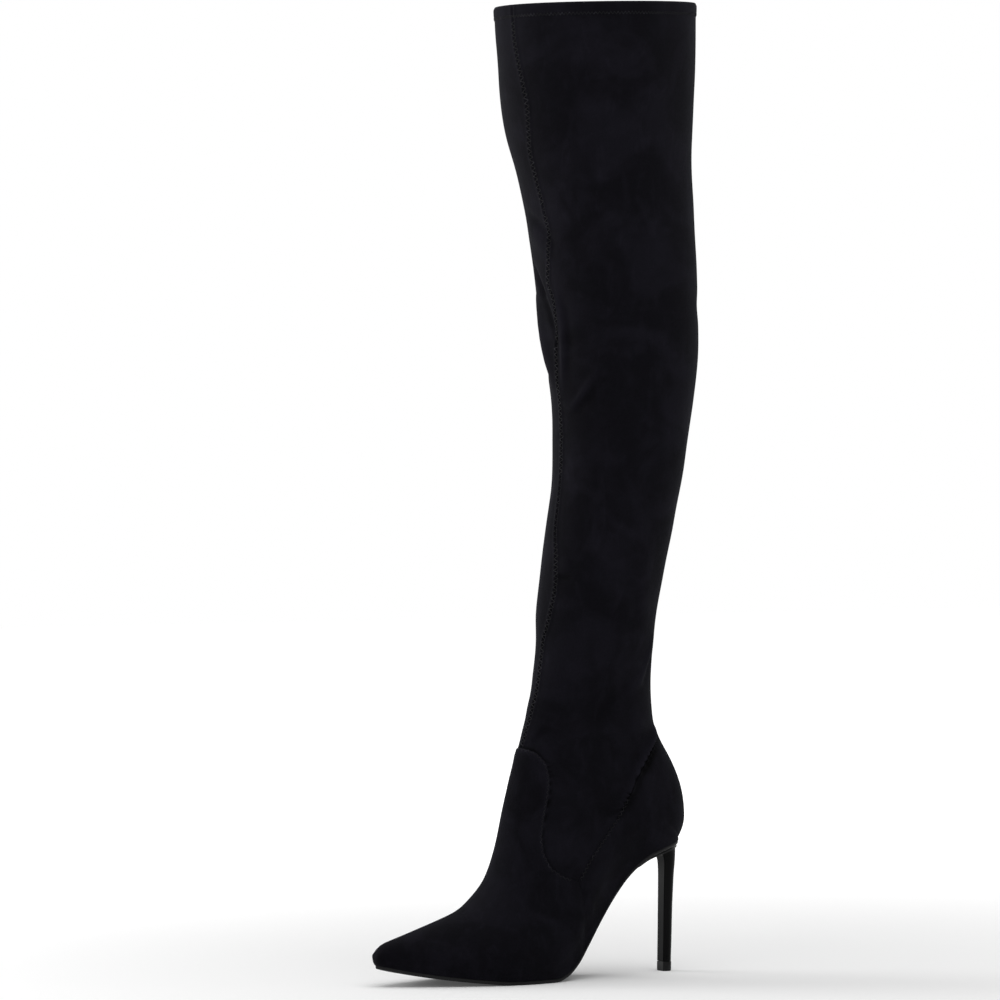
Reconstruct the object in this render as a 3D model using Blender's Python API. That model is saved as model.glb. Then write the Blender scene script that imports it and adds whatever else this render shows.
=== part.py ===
"""Left thigh high boot on a stiletto heel, standing empty.

Metres. +X points to the toe, +Y to the outer side of the foot and +Z up. The origin is on the floor, at
the middle of the heel's tip.
"""
import math

import bmesh
import bpy
import numpy as np

# The last
LAST_LENGTH = 0.250
HEEL_HEIGHT = 0.090
TOE_SPRING = 0.0135
INSTEP_RISE = 0.075
BALL_WIDTH = 0.075
SEAT_WIDTH = 0.045
HEEL_CUP_WIDTH = 0.059

# The leg, worn over a stocking: depths are front to back
ANKLE_DEPTH = 0.0845
ANKLE_WIDTH = 0.067
CALF_DEPTH = 0.1135
CALF_WIDTH = 0.106
COLLAR_DEPTH = 0.144
COLLAR_WIDTH = 0.127
CALF_RISE = 0.307
THIGH_RISE = 0.1895

# The materials
UPPER_WALL = 0.0016
HEM_STEP = 0.0006
HEM_HEIGHT = 0.009
OVERLAY_WALL = 0.0011
OUTSOLE_THICKNESS = 0.0026
SOLE_LEDGE = 0.0006
INSOLE_THICKNESS = 0.0022
INSOLE_EASE = 0.0011
SEAM_GAP = 0.0003
HEEL_GAP = 0.0004

# The lasting margin, turned in under the foot
MARGIN_WIDTH = 0.009

# The section up to which the toe is solid, the section the vamp's skin ends at, and the counter's first
# and last
TOE_SOLID_ROW = 3
VAMP_ROWS = 27
COUNTER_ROWS = (10, 31)

# The stiletto
TIP_WIDTH = 0.0100
TOP_PIECE_HEIGHT = 0.0065
TOP_PIECE_LEDGE = 0.00015
TOP_PIECE_CHAMFER = 0.0004

# How finely the surfaces are divided
HALF_COLUMNS = 13
STATION_SPACING = 0.0115
ROW_CLEARANCE = 0.004
BEZIER_STEPS = 24
TURN_STEPS = 12
SIDE_STEPS = 3
FEATHER_STEPS = 24

# How firmly a shifted corner keeps to the mean direction of its faces, and how far it may go, as a
# share of the shift
SHIFT_STIFFNESS = 0.15
LONGEST_SHIFT = 1.6

# Lengths under this are taken as nothing, and points this near each other as one
SMALLEST = 1e-9
JOIN_DISTANCE = 1e-6

# The walking line from the seat's rear edge to the toe tip: forward as a share of LAST_LENGTH from the
# heel tip, lift as a share of HEEL_HEIGHT, spring as a share of TOE_SPRING
WALKING_LINE = (
    ("forward", "lift", "spring"),
    (-0.036, 1.000, 0.00),
    (0.000, 0.977, 0.00),
    (0.050, 0.940, 0.00),
    (0.0975, 0.893, 0.00),
    (0.1265, 0.845, 0.00),
    (0.164, 0.760, 0.00),
    (0.214, 0.600, 0.00),
    (0.2585, 0.432, 0.00),
    (0.306, 0.246, 0.00),
    (0.3445, 0.112, 0.00),
    (0.386, 0.030, 0.00),
    (0.430, 0.000, 0.00),
    (0.500, 0.000, 0.00),
    (0.570, 0.000, 0.00),
    (0.650, 0.000, 0.12),
    (0.740, 0.000, 0.32),
    (0.840, 0.000, 0.62),
    (0.930, 0.000, 1.00),
)

# The outsole's edge from its top down: out as a share of SOLE_LEDGE past the feather line, height as a
# share of OUTSOLE_THICKNESS
OUTSOLE_EDGE = (
    ("out", "height"),
    (0.6, 1.0),
    (1.0, 0.8),
    (1.0, 0.3),
    (-1.0, 0.0),
)

# Sections from the toe tip to the waist. Each lies in a plane that holds its low point on the feather
# line, its top point on the ridge and the direction across. Forward is a share of LAST_LENGTH, rise is
# the top's height over the low point as a share of INSTEP_RISE, edges and widths are half widths as
# shares of BALL_WIDTH, wide_at is how far up the section is widest, and full is how round each end is
FOOT_SECTIONS = (
    (
        "low", "top", "rise", "edge_out", "edge_in", "wide_out",
        "wide_in", "wide_at", "low_full", "top_full", "ridge",
    ),
    (0.912, 0.912, 0.000, 0.000, 0.000, 0.000, 0.000, 0.30, 0.55, 0.55, 0.000),
    (0.906, 0.915, 0.043, 0.036, 0.036, 0.042, 0.042, 0.35, 0.55, 0.60, -0.004),
    (0.892, 0.913, 0.112, 0.072, 0.074, 0.082, 0.084, 0.35, 0.55, 0.60, -0.010),
    (0.868, 0.896, 0.191, 0.114, 0.124, 0.127, 0.137, 0.33, 0.55, 0.58, -0.016),
    (0.830, 0.858, 0.266, 0.176, 0.192, 0.191, 0.207, 0.30, 0.55, 0.57, -0.022),
    (0.782, 0.805, 0.344, 0.252, 0.270, 0.270, 0.287, 0.28, 0.55, 0.56, -0.028),
    (0.724, 0.742, 0.436, 0.334, 0.350, 0.354, 0.370, 0.26, 0.55, 0.54, -0.032),
    (0.656, 0.678, 0.532, 0.418, 0.426, 0.442, 0.448, 0.25, 0.55, 0.52, -0.034),
    (0.590, 0.627, 0.632, 0.480, 0.474, 0.507, 0.500, 0.24, 0.55, 0.50, -0.030),
    (0.516, 0.585, 0.763, 0.502, 0.480, 0.533, 0.512, 0.23, 0.55, 0.49, -0.026),
    (0.440, 0.553, 0.919, 0.468, 0.436, 0.513, 0.486, 0.23, 0.55, 0.48, -0.022),
    (0.380, 0.532, 1.077, 0.404, 0.372, 0.473, 0.450, 0.24, 0.55, 0.48, -0.018),
    (0.320, 0.519, 1.082, 0.346, 0.318, 0.438, 0.420, 0.27, 0.55, 0.49, -0.014),
    (0.260, 0.508, 0.992, 0.304, 0.284, 0.418, 0.404, 0.31, 0.56, 0.50, -0.010),
    (0.190, 0.497, 0.843, 0.288, 0.282, 0.408, 0.398, 0.36, 0.58, 0.51, -0.006),
    (0.120, 0.486, 0.777, 0.298, 0.298, 0.405, 0.398, 0.40, 0.60, 0.52, -0.003),
)

# Sections round the seat, by the turn of its U in degrees. Widths are half widths as shares of
# HEEL_CUP_WIDTH
SEAT_SECTIONS = (
    ("turn", "top", "rise", "wide", "wide_at", "low_full", "top_full"),
    (90.0, 0.475, 0.820, 0.508, 0.43, 0.62, 0.52),
    (62.0, 0.465, 0.878, 0.510, 0.45, 0.64, 0.53),
    (32.0, 0.457, 0.930, 0.512, 0.46, 0.65, 0.53),
    (0.0, 0.450, 0.996, 0.514, 0.47, 0.66, 0.54),
)

# Sections up the back of the heel: back is forward as a share of LAST_LENGTH, both rises are over the
# seat's rear edge as shares of INSTEP_RISE
HEEL_SECTIONS = (
    ("back", "back_rise", "top", "rise", "wide", "wide_at", "low_full", "top_full"),
    (-0.041, 0.095, 0.444, 1.060, 0.516, 0.48, 0.66, 0.54),
    (-0.045, 0.215, 0.436, 1.135, 0.520, 0.49, 0.65, 0.55),
    (-0.039, 0.375, 0.429, 1.222, 0.526, 0.49, 0.64, 0.55),
    (-0.022, 0.555, 0.420, 1.315, 0.532, 0.50, 0.62, 0.55),
    (0.007, 0.735, 0.412, 1.420, 0.538, 0.50, 0.60, 0.55),
    (0.041, 0.920, 0.406, 1.545, 0.545, 0.50, 0.58, 0.55),
    (0.057, 1.135, 0.399, 1.698, 0.550, 0.50, 0.57, 0.55),
    (0.063, 1.388, 0.395, 1.870, 0.555, 0.50, 0.56, 0.55),
)

# Sections up the leg: height from the ankle to the calf, then from the calf to the collar, middle is
# forward as a share of LAST_LENGTH, grow is from the lower named size to the upper one, slope is the
# fall of the plane to the back, and lean is to the outer side as a share of CALF_WIDTH
CALF_SECTIONS = (
    ("height", "middle", "deep_grow", "wide_grow", "slope", "lean", "low_full", "top_full"),
    (0.222, 0.226, -0.043, 0.07, 0.25, 0.000, 0.56, 0.56),
    (0.326, 0.208, 0.031, 0.20, 0.10, 0.002, 0.56, 0.56),
    (0.430, 0.184, 0.104, 0.30, 0.03, 0.006, 0.56, 0.56),
    (0.535, 0.159, 0.176, 0.38, 0.00, 0.010, 0.56, 0.56),
    (0.639, 0.145, 0.317, 0.50, 0.00, 0.013, 0.56, 0.56),
    (0.743, 0.138, 0.545, 0.66, 0.00, 0.014, 0.56, 0.56),
    (0.847, 0.142, 0.804, 0.86, 0.00, 0.012, 0.56, 0.56),
    (0.951, 0.151, 0.972, 0.98, 0.00, 0.008, 0.56, 0.56),
)
THIGH_SECTIONS = (
    ("height", "middle", "deep_grow", "wide_grow", "slope", "lean", "low_full", "top_full"),
    (0.078, 0.160, 0.067, 0.03, 0.00, 0.004, 0.56, 0.56),
    (0.238, 0.174, 0.130, 0.14, 0.00, 0.000, 0.55, 0.56),
    (0.396, 0.191, 0.313, 0.34, -0.01, -0.004, 0.54, 0.56),
    (0.565, 0.207, 0.644, 0.66, -0.025, -0.006, 0.53, 0.56),
    (0.738, 0.212, 0.842, 0.86, -0.031, -0.006, 0.52, 0.56),
    (0.875, 0.216, 0.930, 0.95, -0.035, -0.006, 0.51, 0.56),
    (1.000, 0.218, 0.995, 1.00, -0.036, -0.006, 0.50, 0.56),
)


# The heel, up from the top piece: height as a share of the rise to the outsole, middle forward as a share
# of LAST_LENGTH, flare from TIP_WIDTH to SEAT_WIDTH, the rest as shares of the half width
HEEL_SHAPE = (
    ("height", "middle", "flare", "back", "front", "corner"),
    (0.000, 0.0000, 0.000, 1.05, 0.54, 0.84),
    (0.200, -0.0010, 0.000, 1.12, 0.54, 0.84),
    (0.450, -0.0020, 0.002, 1.18, 0.54, 0.84),
    (0.690, -0.0036, 0.015, 1.25, 0.54, 0.84),
    (0.840, -0.0050, 0.048, 1.25, 0.56, 0.85),
    (0.900, -0.0036, 0.072, 1.26, 0.62, 0.86),
    (0.935, 0.0000, 0.115, 1.25, 0.72, 0.88),
    (0.955, 0.0080, 0.205, 1.18, 0.80, 0.91),
    (0.967, 0.0230, 0.385, 1.11, 0.85, 0.94),
    (0.974, 0.0410, 0.660, 1.05, 0.87, 0.96),
    (0.980, 0.0580, 0.930, 1.01, 0.88, 0.97),
    (1.000, 0.0640, 0.985, 1.00, 0.88, 0.97),
)

# The seams of the two overlays as they cross the side: forward as a share of LAST_LENGTH, rise over the
# floor as a share of HEEL_HEIGHT plus INSTEP_RISE
VAMP_SEAM = (
    ("forward", "rise"),
    (0.530, 0.975),
    (0.468, 0.956),
    (0.441, 0.934),
    (0.421, 0.890),
    (0.416, 0.830),
    (0.423, 0.760),
    (0.438, 0.670),
    (0.448, 0.590),
    (0.447, 0.525),
    (0.431, 0.465),
    (0.398, 0.430),
    (0.356, 0.409),
    (0.340, 0.340),
    (0.326, 0.200),
    (0.315, 0.060),
)
COUNTER_SEAM = (
    ("forward", "rise"),
    (-0.060, 1.100),
    (0.036, 1.060),
    (0.081, 1.000),
    (0.120, 0.930),
    (0.154, 0.855),
    (0.185, 0.765),
    (0.223, 0.670),
    (0.275, 0.575),
    (0.319, 0.490),
    (0.3543, 0.407),
    (0.3380, 0.340),
    (0.3240, 0.200),
    (0.3130, 0.060),
)


def table_rows(table):
    """The rows of a table as dictionaries, by the names in its first line."""
    names = table[0]
    return [dict(zip(names, row)) for row in table[1:]]


class Spline:
    """A natural cubic spline through rows of values."""

    def __init__(self, knots, values):
        self.knots = np.asarray(knots, float)
        self.values = np.asarray(values, float)
        count = len(self.knots)
        step = np.diff(self.knots)
        rise = np.diff(self.values, axis=0) / step[:, None]
        matrix = np.eye(count)
        right = np.zeros_like(self.values)
        for i in range(1, count - 1):
            matrix[i, i - 1 : i + 2] = step[i - 1], 2 * (step[i - 1] + step[i]), step[i]
            right[i] = 6 * (rise[i] - rise[i - 1])
        self.bend = np.linalg.solve(matrix, right)

    def __call__(self, at):
        i = int(np.clip(np.searchsorted(self.knots, at) - 1, 0, len(self.knots) - 2))
        step = self.knots[i + 1] - self.knots[i]
        a = (self.knots[i + 1] - at) / step
        b = 1 - a
        bowed = (a**3 - a) * self.bend[i] + (b**3 - b) * self.bend[i + 1]
        return a * self.values[i] + b * self.values[i + 1] + bowed * step**2 / 6


class WalkingLine:
    """The height of the outsole's underside over the floor, flat where two rows of its table are."""

    def __init__(self):
        rows = table_rows(WALKING_LINE)
        self.forward = np.array([row["forward"] * LAST_LENGTH for row in rows])
        self.height = np.array([row["lift"] * HEEL_HEIGHT + row["spring"] * TOE_SPRING for row in rows])
        chord = np.diff(self.height) / np.diff(self.forward)
        self.slope = np.concatenate([[chord[0]], np.zeros(len(chord) - 1), [chord[-1]]])
        for i in range(1, len(chord)):
            if chord[i - 1] * chord[i] > 0:
                self.slope[i] = 2 * chord[i - 1] * chord[i] / (chord[i - 1] + chord[i])

    def __call__(self, forward):
        x = min(max(forward, self.forward[0]), self.forward[-1])
        i = int(np.clip(np.searchsorted(self.forward, x) - 1, 0, len(self.forward) - 2))
        step = self.forward[i + 1] - self.forward[i]
        t = (x - self.forward[i]) / step
        bent = (2 * t**3 - 3 * t**2 + 1) * self.height[i] + (3 * t**2 - 2 * t**3) * self.height[i + 1]
        leant = (t**3 - 2 * t**2 + t) * self.slope[i] + (t**3 - t**2) * self.slope[i + 1]
        return float(bent + step * leant)

    def steepness(self, forward):
        """How much longer a rise through a thickness is on the slope than on the flat."""
        reach = 0.016 * LAST_LENGTH
        rise = self(forward + reach) - self(forward - reach)
        return math.hypot(1.0, rise / (2 * reach))


WALKING_HEIGHT = WalkingLine()


def feather_height(forward):
    """The height of the upper's lower edge: it stands on the outsole."""
    return WALKING_HEIGHT(forward) + OUTSOLE_THICKNESS + SEAM_GAP


SEAT_REAR = -0.027 * LAST_LENGTH

# What a section holds, in the order of the last's arrays
FIELDS = (
    "low_x", "low_z", "top_x", "top_z", "edge_out", "edge_in", "turn",
    "wide_out", "wide_in", "wide_at", "low_full", "top_full", "ridge", "lean",
)


def foot_rows():
    for row in table_rows(FOOT_SECTIONS):
        low_x = row["low"] * LAST_LENGTH
        low_z = feather_height(low_x)
        yield {
            "low_x": low_x,
            "low_z": low_z,
            "top_x": row["top"] * LAST_LENGTH,
            "top_z": low_z + row["rise"] * INSTEP_RISE,
            "edge_out": row["edge_out"] * BALL_WIDTH,
            "edge_in": row["edge_in"] * BALL_WIDTH,
            "turn": math.radians(90),
            "wide_out": row["wide_out"] * BALL_WIDTH,
            "wide_in": row["wide_in"] * BALL_WIDTH,
            "wide_at": row["wide_at"],
            "low_full": row["low_full"],
            "top_full": row["top_full"],
            "ridge": row["ridge"] * BALL_WIDTH,
            "lean": 0.0,
        }


def seat_rows():
    radius = SEAT_WIDTH / 2
    for row in table_rows(SEAT_SECTIONS):
        turn = math.radians(row["turn"])
        low_x = SEAT_REAR + radius * (1 - math.cos(turn))
        low_z = feather_height(low_x)
        yield {
            "low_x": low_x,
            "low_z": low_z,
            "top_x": row["top"] * LAST_LENGTH,
            "top_z": low_z + row["rise"] * INSTEP_RISE,
            "edge_out": radius * math.sin(turn),
            "edge_in": radius * math.sin(turn),
            "turn": turn,
            "wide_out": row["wide"] * HEEL_CUP_WIDTH,
            "wide_in": row["wide"] * HEEL_CUP_WIDTH,
            "wide_at": row["wide_at"],
            "low_full": row["low_full"],
            "top_full": row["top_full"],
            "ridge": 0.0,
            "lean": 0.0,
        }


def heel_rows():
    rear_z = feather_height(SEAT_REAR)
    for row in table_rows(HEEL_SECTIONS):
        yield {
            "low_x": row["back"] * LAST_LENGTH,
            "low_z": rear_z + row["back_rise"] * INSTEP_RISE,
            "top_x": row["top"] * LAST_LENGTH,
            "top_z": rear_z + row["rise"] * INSTEP_RISE,
            "edge_out": 0.0,
            "edge_in": 0.0,
            "turn": 0.0,
            "wide_out": row["wide"] * HEEL_CUP_WIDTH,
            "wide_in": row["wide"] * HEEL_CUP_WIDTH,
            "wide_at": row["wide_at"],
            "low_full": row["low_full"],
            "top_full": row["top_full"],
            "ridge": 0.0,
            "lean": 0.0,
        }


def leg_rows():
    ankle_z = feather_height(SEAT_REAR) + INSTEP_RISE
    calf_z = ankle_z + CALF_RISE
    calf = (ANKLE_DEPTH, CALF_DEPTH, ANKLE_WIDTH, CALF_WIDTH)
    thigh = (CALF_DEPTH, COLLAR_DEPTH, CALF_WIDTH, COLLAR_WIDTH)
    stretches = ((CALF_SECTIONS, ankle_z, CALF_RISE, calf), (THIGH_SECTIONS, calf_z, THIGH_RISE, thigh))
    for table, base, rise, (low_depth, high_depth, low_width, high_width) in stretches:
        for row in table_rows(table):
            half_depth = (low_depth + row["deep_grow"] * (high_depth - low_depth)) / 2
            half_width = (low_width + row["wide_grow"] * (high_width - low_width)) / 2
            middle_x = row["middle"] * LAST_LENGTH
            middle_z = base + row["height"] * rise
            yield {
                "low_x": middle_x - half_depth,
                "low_z": middle_z - row["slope"] * half_depth,
                "top_x": middle_x + half_depth,
                "top_z": middle_z + row["slope"] * half_depth,
                "edge_out": 0.0,
                "edge_in": 0.0,
                "turn": 0.0,
                "wide_out": half_width,
                "wide_in": half_width,
                "wide_at": 0.5,
                "low_full": row["low_full"],
                "top_full": row["top_full"],
                "ridge": 0.0,
                "lean": row["lean"] * CALF_WIDTH,
            }


class Last:
    """The boot's outer form, as sections that run smoothly from the toe tip (0) to the collar (1)."""

    def __init__(self):
        foot, seat, heel, leg = list(foot_rows()), list(seat_rows()), list(heel_rows()), list(leg_rows())
        rows = foot + seat + heel + leg
        values = np.array([[row[name] for name in FIELDS] for row in rows])
        apart = np.hypot(np.diff(values[:, 0]), np.diff(values[:, 1]))
        apart += np.hypot(np.diff(values[:, 2]), np.diff(values[:, 3]))
        knots = np.concatenate([[0], np.cumsum(apart)])
        self.knots = knots / knots[-1]
        self.seat_row = len(foot) + len(seat) - 1
        self.seat_rear = self.knots[self.seat_row]
        self.whole = Spline(self.knots, values)
        self.foot = Spline(self.knots[: self.seat_row + 1], values[: self.seat_row + 1])
        self.leg = Spline(self.knots[self.seat_row :], values[self.seat_row :])

    def section(self, along):
        """The named values of the section at a place along the last."""
        found = dict(zip(FIELDS, self.whole(along)))
        on_foot = along <= self.seat_rear
        part = dict(zip(FIELDS, (self.foot if on_foot else self.leg)(along)))
        for name in ("low_x", "low_z"):
            found[name] = part[name]
        if on_foot:
            found["low_z"] = feather_height(found["low_x"])
        for name in ("edge_out", "edge_in", "turn"):
            found[name] = max(part[name], 0.0) if on_foot else 0.0
        found["turn"] = min(found["turn"], math.radians(90))
        return found

    def half_section(self, along, side, shares):
        """Points of one half of a section, at shares of its length from the ridge (0) to its low end (1)."""
        s = self.section(along)
        low = np.array([s["low_x"], s["low_z"]])
        span = np.array([s["top_x"], s["top_z"]]) - low
        name = "out" if side > 0 else "in"
        edge, wide = s["edge_" + name], s["wide_" + name]
        at, turn = s["wide_at"], s["turn"]
        ridge = s["ridge"] * side
        top_full, low_full = s["top_full"], s["low_full"]
        swell = max(wide - edge, 0.0) * math.sin(turn)
        swept = abs(span[0]) * at * math.cos(turn)
        lean_out = low_full * (wide - edge)
        lean_up = low_full * at * swell / max(swell + swept, SMALLEST)
        lean_in = top_full * (wide - ridge)
        drop = (1 - top_full) * (1 - at)
        upper = ((ridge, 1.0), (ridge + lean_in, 1.0), (wide, 1 - drop), (wide, at))
        lower = ((wide, at), (wide, at * (1 - low_full)), (edge + lean_out, lean_up), (edge, 0.0))
        flat = np.vstack([bezier(upper), bezier(lower)[1:]])
        points = np.empty((len(flat), 3))
        points[:, 0] = low[0] + flat[:, 1] * span[0]
        points[:, 1] = side * flat[:, 0] + s["lean"]
        points[:, 2] = low[1] + flat[:, 1] * span[1]
        return even_points(points, shares)

    def ring(self, along, half_columns):
        """A whole section from the outer low end over the ridge to the inner low end."""
        shares = np.linspace(0, 1, half_columns + 1)
        outer = self.half_section(along, 1, shares)
        inner = self.half_section(along, -1, shares)
        return np.vstack([outer[::-1], inner[1:]])


def bezier(corners):
    t = np.linspace(0, 1, BEZIER_STEPS + 1)[:, None]
    a, b, c, d = (np.array(corner) for corner in corners)
    return (1 - t) ** 3 * a + 3 * (1 - t) ** 2 * t * b + 3 * (1 - t) * t**2 * c + t**3 * d


def even_points(points, shares):
    """Points at these shares of a line's length."""
    step = np.linalg.norm(np.diff(points, axis=0), axis=1)
    run = np.concatenate([[0], np.cumsum(step)])
    if run[-1] < SMALLEST:
        return np.repeat(points[:1], len(shares), axis=0)
    run /= run[-1]
    return np.column_stack([np.interp(shares, run, points[:, i]) for i in range(3)])


class Surface:
    """Points and faces of an open skin, with the points that lie together joined."""

    def __init__(self):
        self.points = []
        self.faces = []
        self.found = {}

    def point(self, place):
        key = tuple(int(round(value / JOIN_DISTANCE)) for value in place)
        if key not in self.found:
            self.found[key] = len(self.points)
            self.points.append([float(value) for value in place])
        return self.found[key]

    def face(self, corners):
        kept = [c for i, c in enumerate(corners) if c != corners[i - 1]]
        if len(set(kept)) == len(kept) and len(kept) > 2:
            self.faces.append(kept)

    def strip(self, first, second):
        """Faces between two lines of points, each side by side."""
        for i in range(len(first) - 1):
            self.face([first[i], first[i + 1], second[i + 1], second[i]])


def skin_margin(last, along, side, closed):
    """The inner end of the lasting margin on one side of a section of the foot."""
    s = last.section(along)
    edge = s["edge_out"] if side > 0 else s["edge_in"]
    if closed:
        forward, across = 0.0, 0.0
    else:
        forward = MARGIN_WIDTH * math.cos(s["turn"])
        across = max(edge - MARGIN_WIDTH * math.sin(s["turn"]), edge * 0.2)
    x = s["low_x"] + forward
    return x, side * across, feather_height(x)


def last_skin(last, rows, margin=False, closed_rows=0, lift=None):
    """A skin through sections of the last, with or without the lasting margin at its low edge."""
    skin = Surface()
    lines = []
    for i, along in enumerate(rows):
        ring = last.ring(along, HALF_COLUMNS)
        if lift is not None and lift[i]:
            middle = ring.mean(axis=0)
            away = ring - middle
            away[:, 2] = 0
            ring = ring + lift[i] * away / np.linalg.norm(away, axis=1)[:, None]
        lines.append([skin.point(place) for place in ring])
    for i in range(len(rows) - 1):
        skin.strip(lines[i + 1], lines[i])
    if margin:
        foot = [i for i, along in enumerate(rows) if along <= last.seat_rear + SMALLEST]
        for side, end in ((1, 0), (-1, -1)):
            edge = [lines[i][end] for i in foot]
            turned = [skin.point(skin_margin(last, rows[i], side, i <= closed_rows)) for i in foot]
            skin.strip(*((turned, edge) if side > 0 else (edge, turned)))
    return skin, lines


def face_normal(points):
    total = np.zeros(3)
    for i in range(len(points)):
        total += np.cross(points[i - 1], points[i])
    size = np.linalg.norm(total)
    return total / size if size > 0 else total


def shifted(skin, distance):
    """The skin's points, moved so that each of its faces moves this far along its normal."""
    points = np.array(skin.points)
    normals = [[] for _ in points]
    for face in skin.faces:
        normal = face_normal(points[face])
        for corner in face:
            normals[corner].append(normal)
    moved = points.copy()
    for i, found in enumerate(normals):
        if not found or not distance:
            continue
        found = np.array(found)
        mean = found.mean(axis=0)
        mean /= np.linalg.norm(mean)
        stiff = np.vstack([found, SHIFT_STIFFNESS * np.eye(3)])
        aim = np.concatenate([np.full(len(found), distance), SHIFT_STIFFNESS * distance * mean])
        step = np.linalg.lstsq(stiff, aim, rcond=None)[0]
        length = np.linalg.norm(step)
        moved[i] += step * min(1.0, LONGEST_SHIFT * abs(distance) / length)
    return moved


def thickened(skin, inner, outer, hollow=None):
    """A closed solid between two shifted copies of a skin. It is hollow only behind the faces given."""
    near, far = shifted(skin, inner), shifted(skin, outer)
    count = len(near)
    kept = skin.faces if hollow is None else hollow
    faces = [[c + count for c in face] for face in skin.faces] + [face[::-1] for face in kept]
    rim = set(open_edges(skin.faces))
    kept_rim = open_edges(kept)
    faces += [[a, b, b + count, a + count] for a, b in kept_rim if (a, b) in rim]
    mouth = chain([edge for edge in kept_rim if edge not in rim])
    if mouth:
        faces.append(mouth)
    return np.vstack([near, far]), faces


def open_edges(faces):
    """The edges with a face on one side only, as they run in that face."""
    runs = set()
    for face in faces:
        for i in range(len(face)):
            runs.add((face[i - 1], face[i]))
    return [edge for edge in sorted(runs) if (edge[1], edge[0]) not in runs]


def chain(edges):
    """The corners of a loop of edges, in order."""
    if not edges:
        return []
    after = dict(edges)
    start = edges[0][0]
    loop = [start]
    while after[loop[-1]] != start:
        loop.append(after[loop[-1]])
    return loop


def foot_outline(last, rows, shift):
    """The feather line's points on both sides, moved outward in plan."""
    places = [[], []]
    for along in rows:
        s = last.section(along)
        places[0].append((s["low_x"], s["edge_out"]))
        places[1].append((s["low_x"], -s["edge_in"]))
    outlines = []
    for side, line in zip((1, -1), places):
        line = np.array(line)
        step = np.gradient(line, axis=0)
        step[0] = (0, side)
        step[-1] = (0, -side)
        away = side * np.column_stack([step[:, 1], -step[:, 0]])
        away /= np.linalg.norm(away, axis=1)[:, None]
        sideways = np.abs(away[:, 1]) > 0.8
        away[sideways] = np.column_stack([0 * away[sideways, 0], 1 / away[sideways, 1]])
        outlines.append(line + shift * away)
    return outlines


def plate(last, rows, levels):
    """A thin solid under the foot: levels give its edge's outward shift and height, from the top."""
    body = Surface()
    rings = []
    for shift, height in levels:
        sides = foot_outline(last, rows, shift)
        rings.append([[body.point((x, y, height(x))) for x, y in line] for line in sides])
    outer, inner = rings[0]
    body.strip(outer, inner)
    outer, inner = rings[-1]
    body.strip(inner, outer)
    for upper, lower in zip(rings, rings[1:]):
        for side in (0, 1):
            first, second = (lower[side], upper[side]) if side == 0 else (upper[side], lower[side])
            body.strip(first, second)
        for end in (0, -1):
            corners = [upper[0][end], upper[1][end], lower[1][end], lower[0][end]]
            body.face(corners if end else corners[::-1])
    return np.array(body.points), body.faces


def outsole_solid(last, rows):
    def level(row):
        lift = row["height"] * OUTSOLE_THICKNESS
        return row["out"] * SOLE_LEDGE, lambda x: WALKING_HEIGHT(x) + lift

    return plate(last, rows, [level(row) for row in table_rows(OUTSOLE_EDGE)])


def insole_solid(last, rows):
    shift = -(UPPER_WALL + INSOLE_EASE)

    def rise(x, thickness):
        return feather_height(x) + (UPPER_WALL + SEAM_GAP + thickness) * WALKING_HEIGHT.steepness(x)

    levels = (
        (shift, lambda x: rise(x, INSOLE_THICKNESS)),
        (shift, lambda x: rise(x, 0.0)),
    )
    return plate(last, rows, levels)


def heel_ring(middle, half_width, back, front, corner):
    """A ring in plan from the breast's outer corner round the back to its inner corner."""
    side = []
    for i in range(SIDE_STEPS, 0, -1):
        share = i / SIDE_STEPS
        side.append((middle + share * front * half_width, (1 + share * (corner - 1)) * half_width))
    places = list(side)
    for i in range(TURN_STEPS + 1):
        turn = math.pi * i / TURN_STEPS
        places.append((middle - back * half_width * math.sin(turn), half_width * math.cos(turn)))
    return places + [(x, -y) for x, y in side[::-1]]


def ringed_solid(rings):
    """A solid through level rings that are the same on both sides, closed across at each end."""
    body = Surface()
    lines = [[body.point(place) for place in ring] for ring in rings]
    for lower, upper in zip(lines, lines[1:]):
        body.strip(lower + lower[:1], upper + upper[:1])
    half = (len(lines[0]) + 1) // 2
    for line, flip in ((lines[0], True), (lines[-1], False)):
        outer, inner = line[:half], line[::-1][:half]
        body.strip(*((outer, inner) if flip else (inner, outer)))
    return np.array(body.points), body.faces


def heel_solid():
    rings = []
    base = TOP_PIECE_HEIGHT + SEAM_GAP
    for row in table_rows(HEEL_SHAPE):
        half_width = (TIP_WIDTH + row["flare"] * (SEAT_WIDTH - TIP_WIDTH)) / 2
        middle = row["middle"] * LAST_LENGTH
        share = row["height"]
        ring = []
        for x, y in heel_ring(middle, half_width, row["back"], row["front"], row["corner"]):
            level = (1 - share) * WALKING_HEIGHT(0) + share * WALKING_HEIGHT(x) - HEEL_GAP
            ring.append((x, y, base + share * (level - base)))
        rings.append(ring)
    return ringed_solid(rings)


def top_piece_solid():
    row = table_rows(HEEL_SHAPE)[0]
    rings = []
    levels = ((0.0, TOP_PIECE_CHAMFER), (TOP_PIECE_CHAMFER, 0.0), (TOP_PIECE_HEIGHT, 0.0))
    for height, inset in levels:
        half_width = TIP_WIDTH / 2 + TOP_PIECE_LEDGE - inset
        plan = heel_ring(0.0, half_width, row["back"], row["front"], row["corner"])
        rings.append([(x, y, height) for x, y in plan])
    return ringed_solid(rings)


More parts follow.
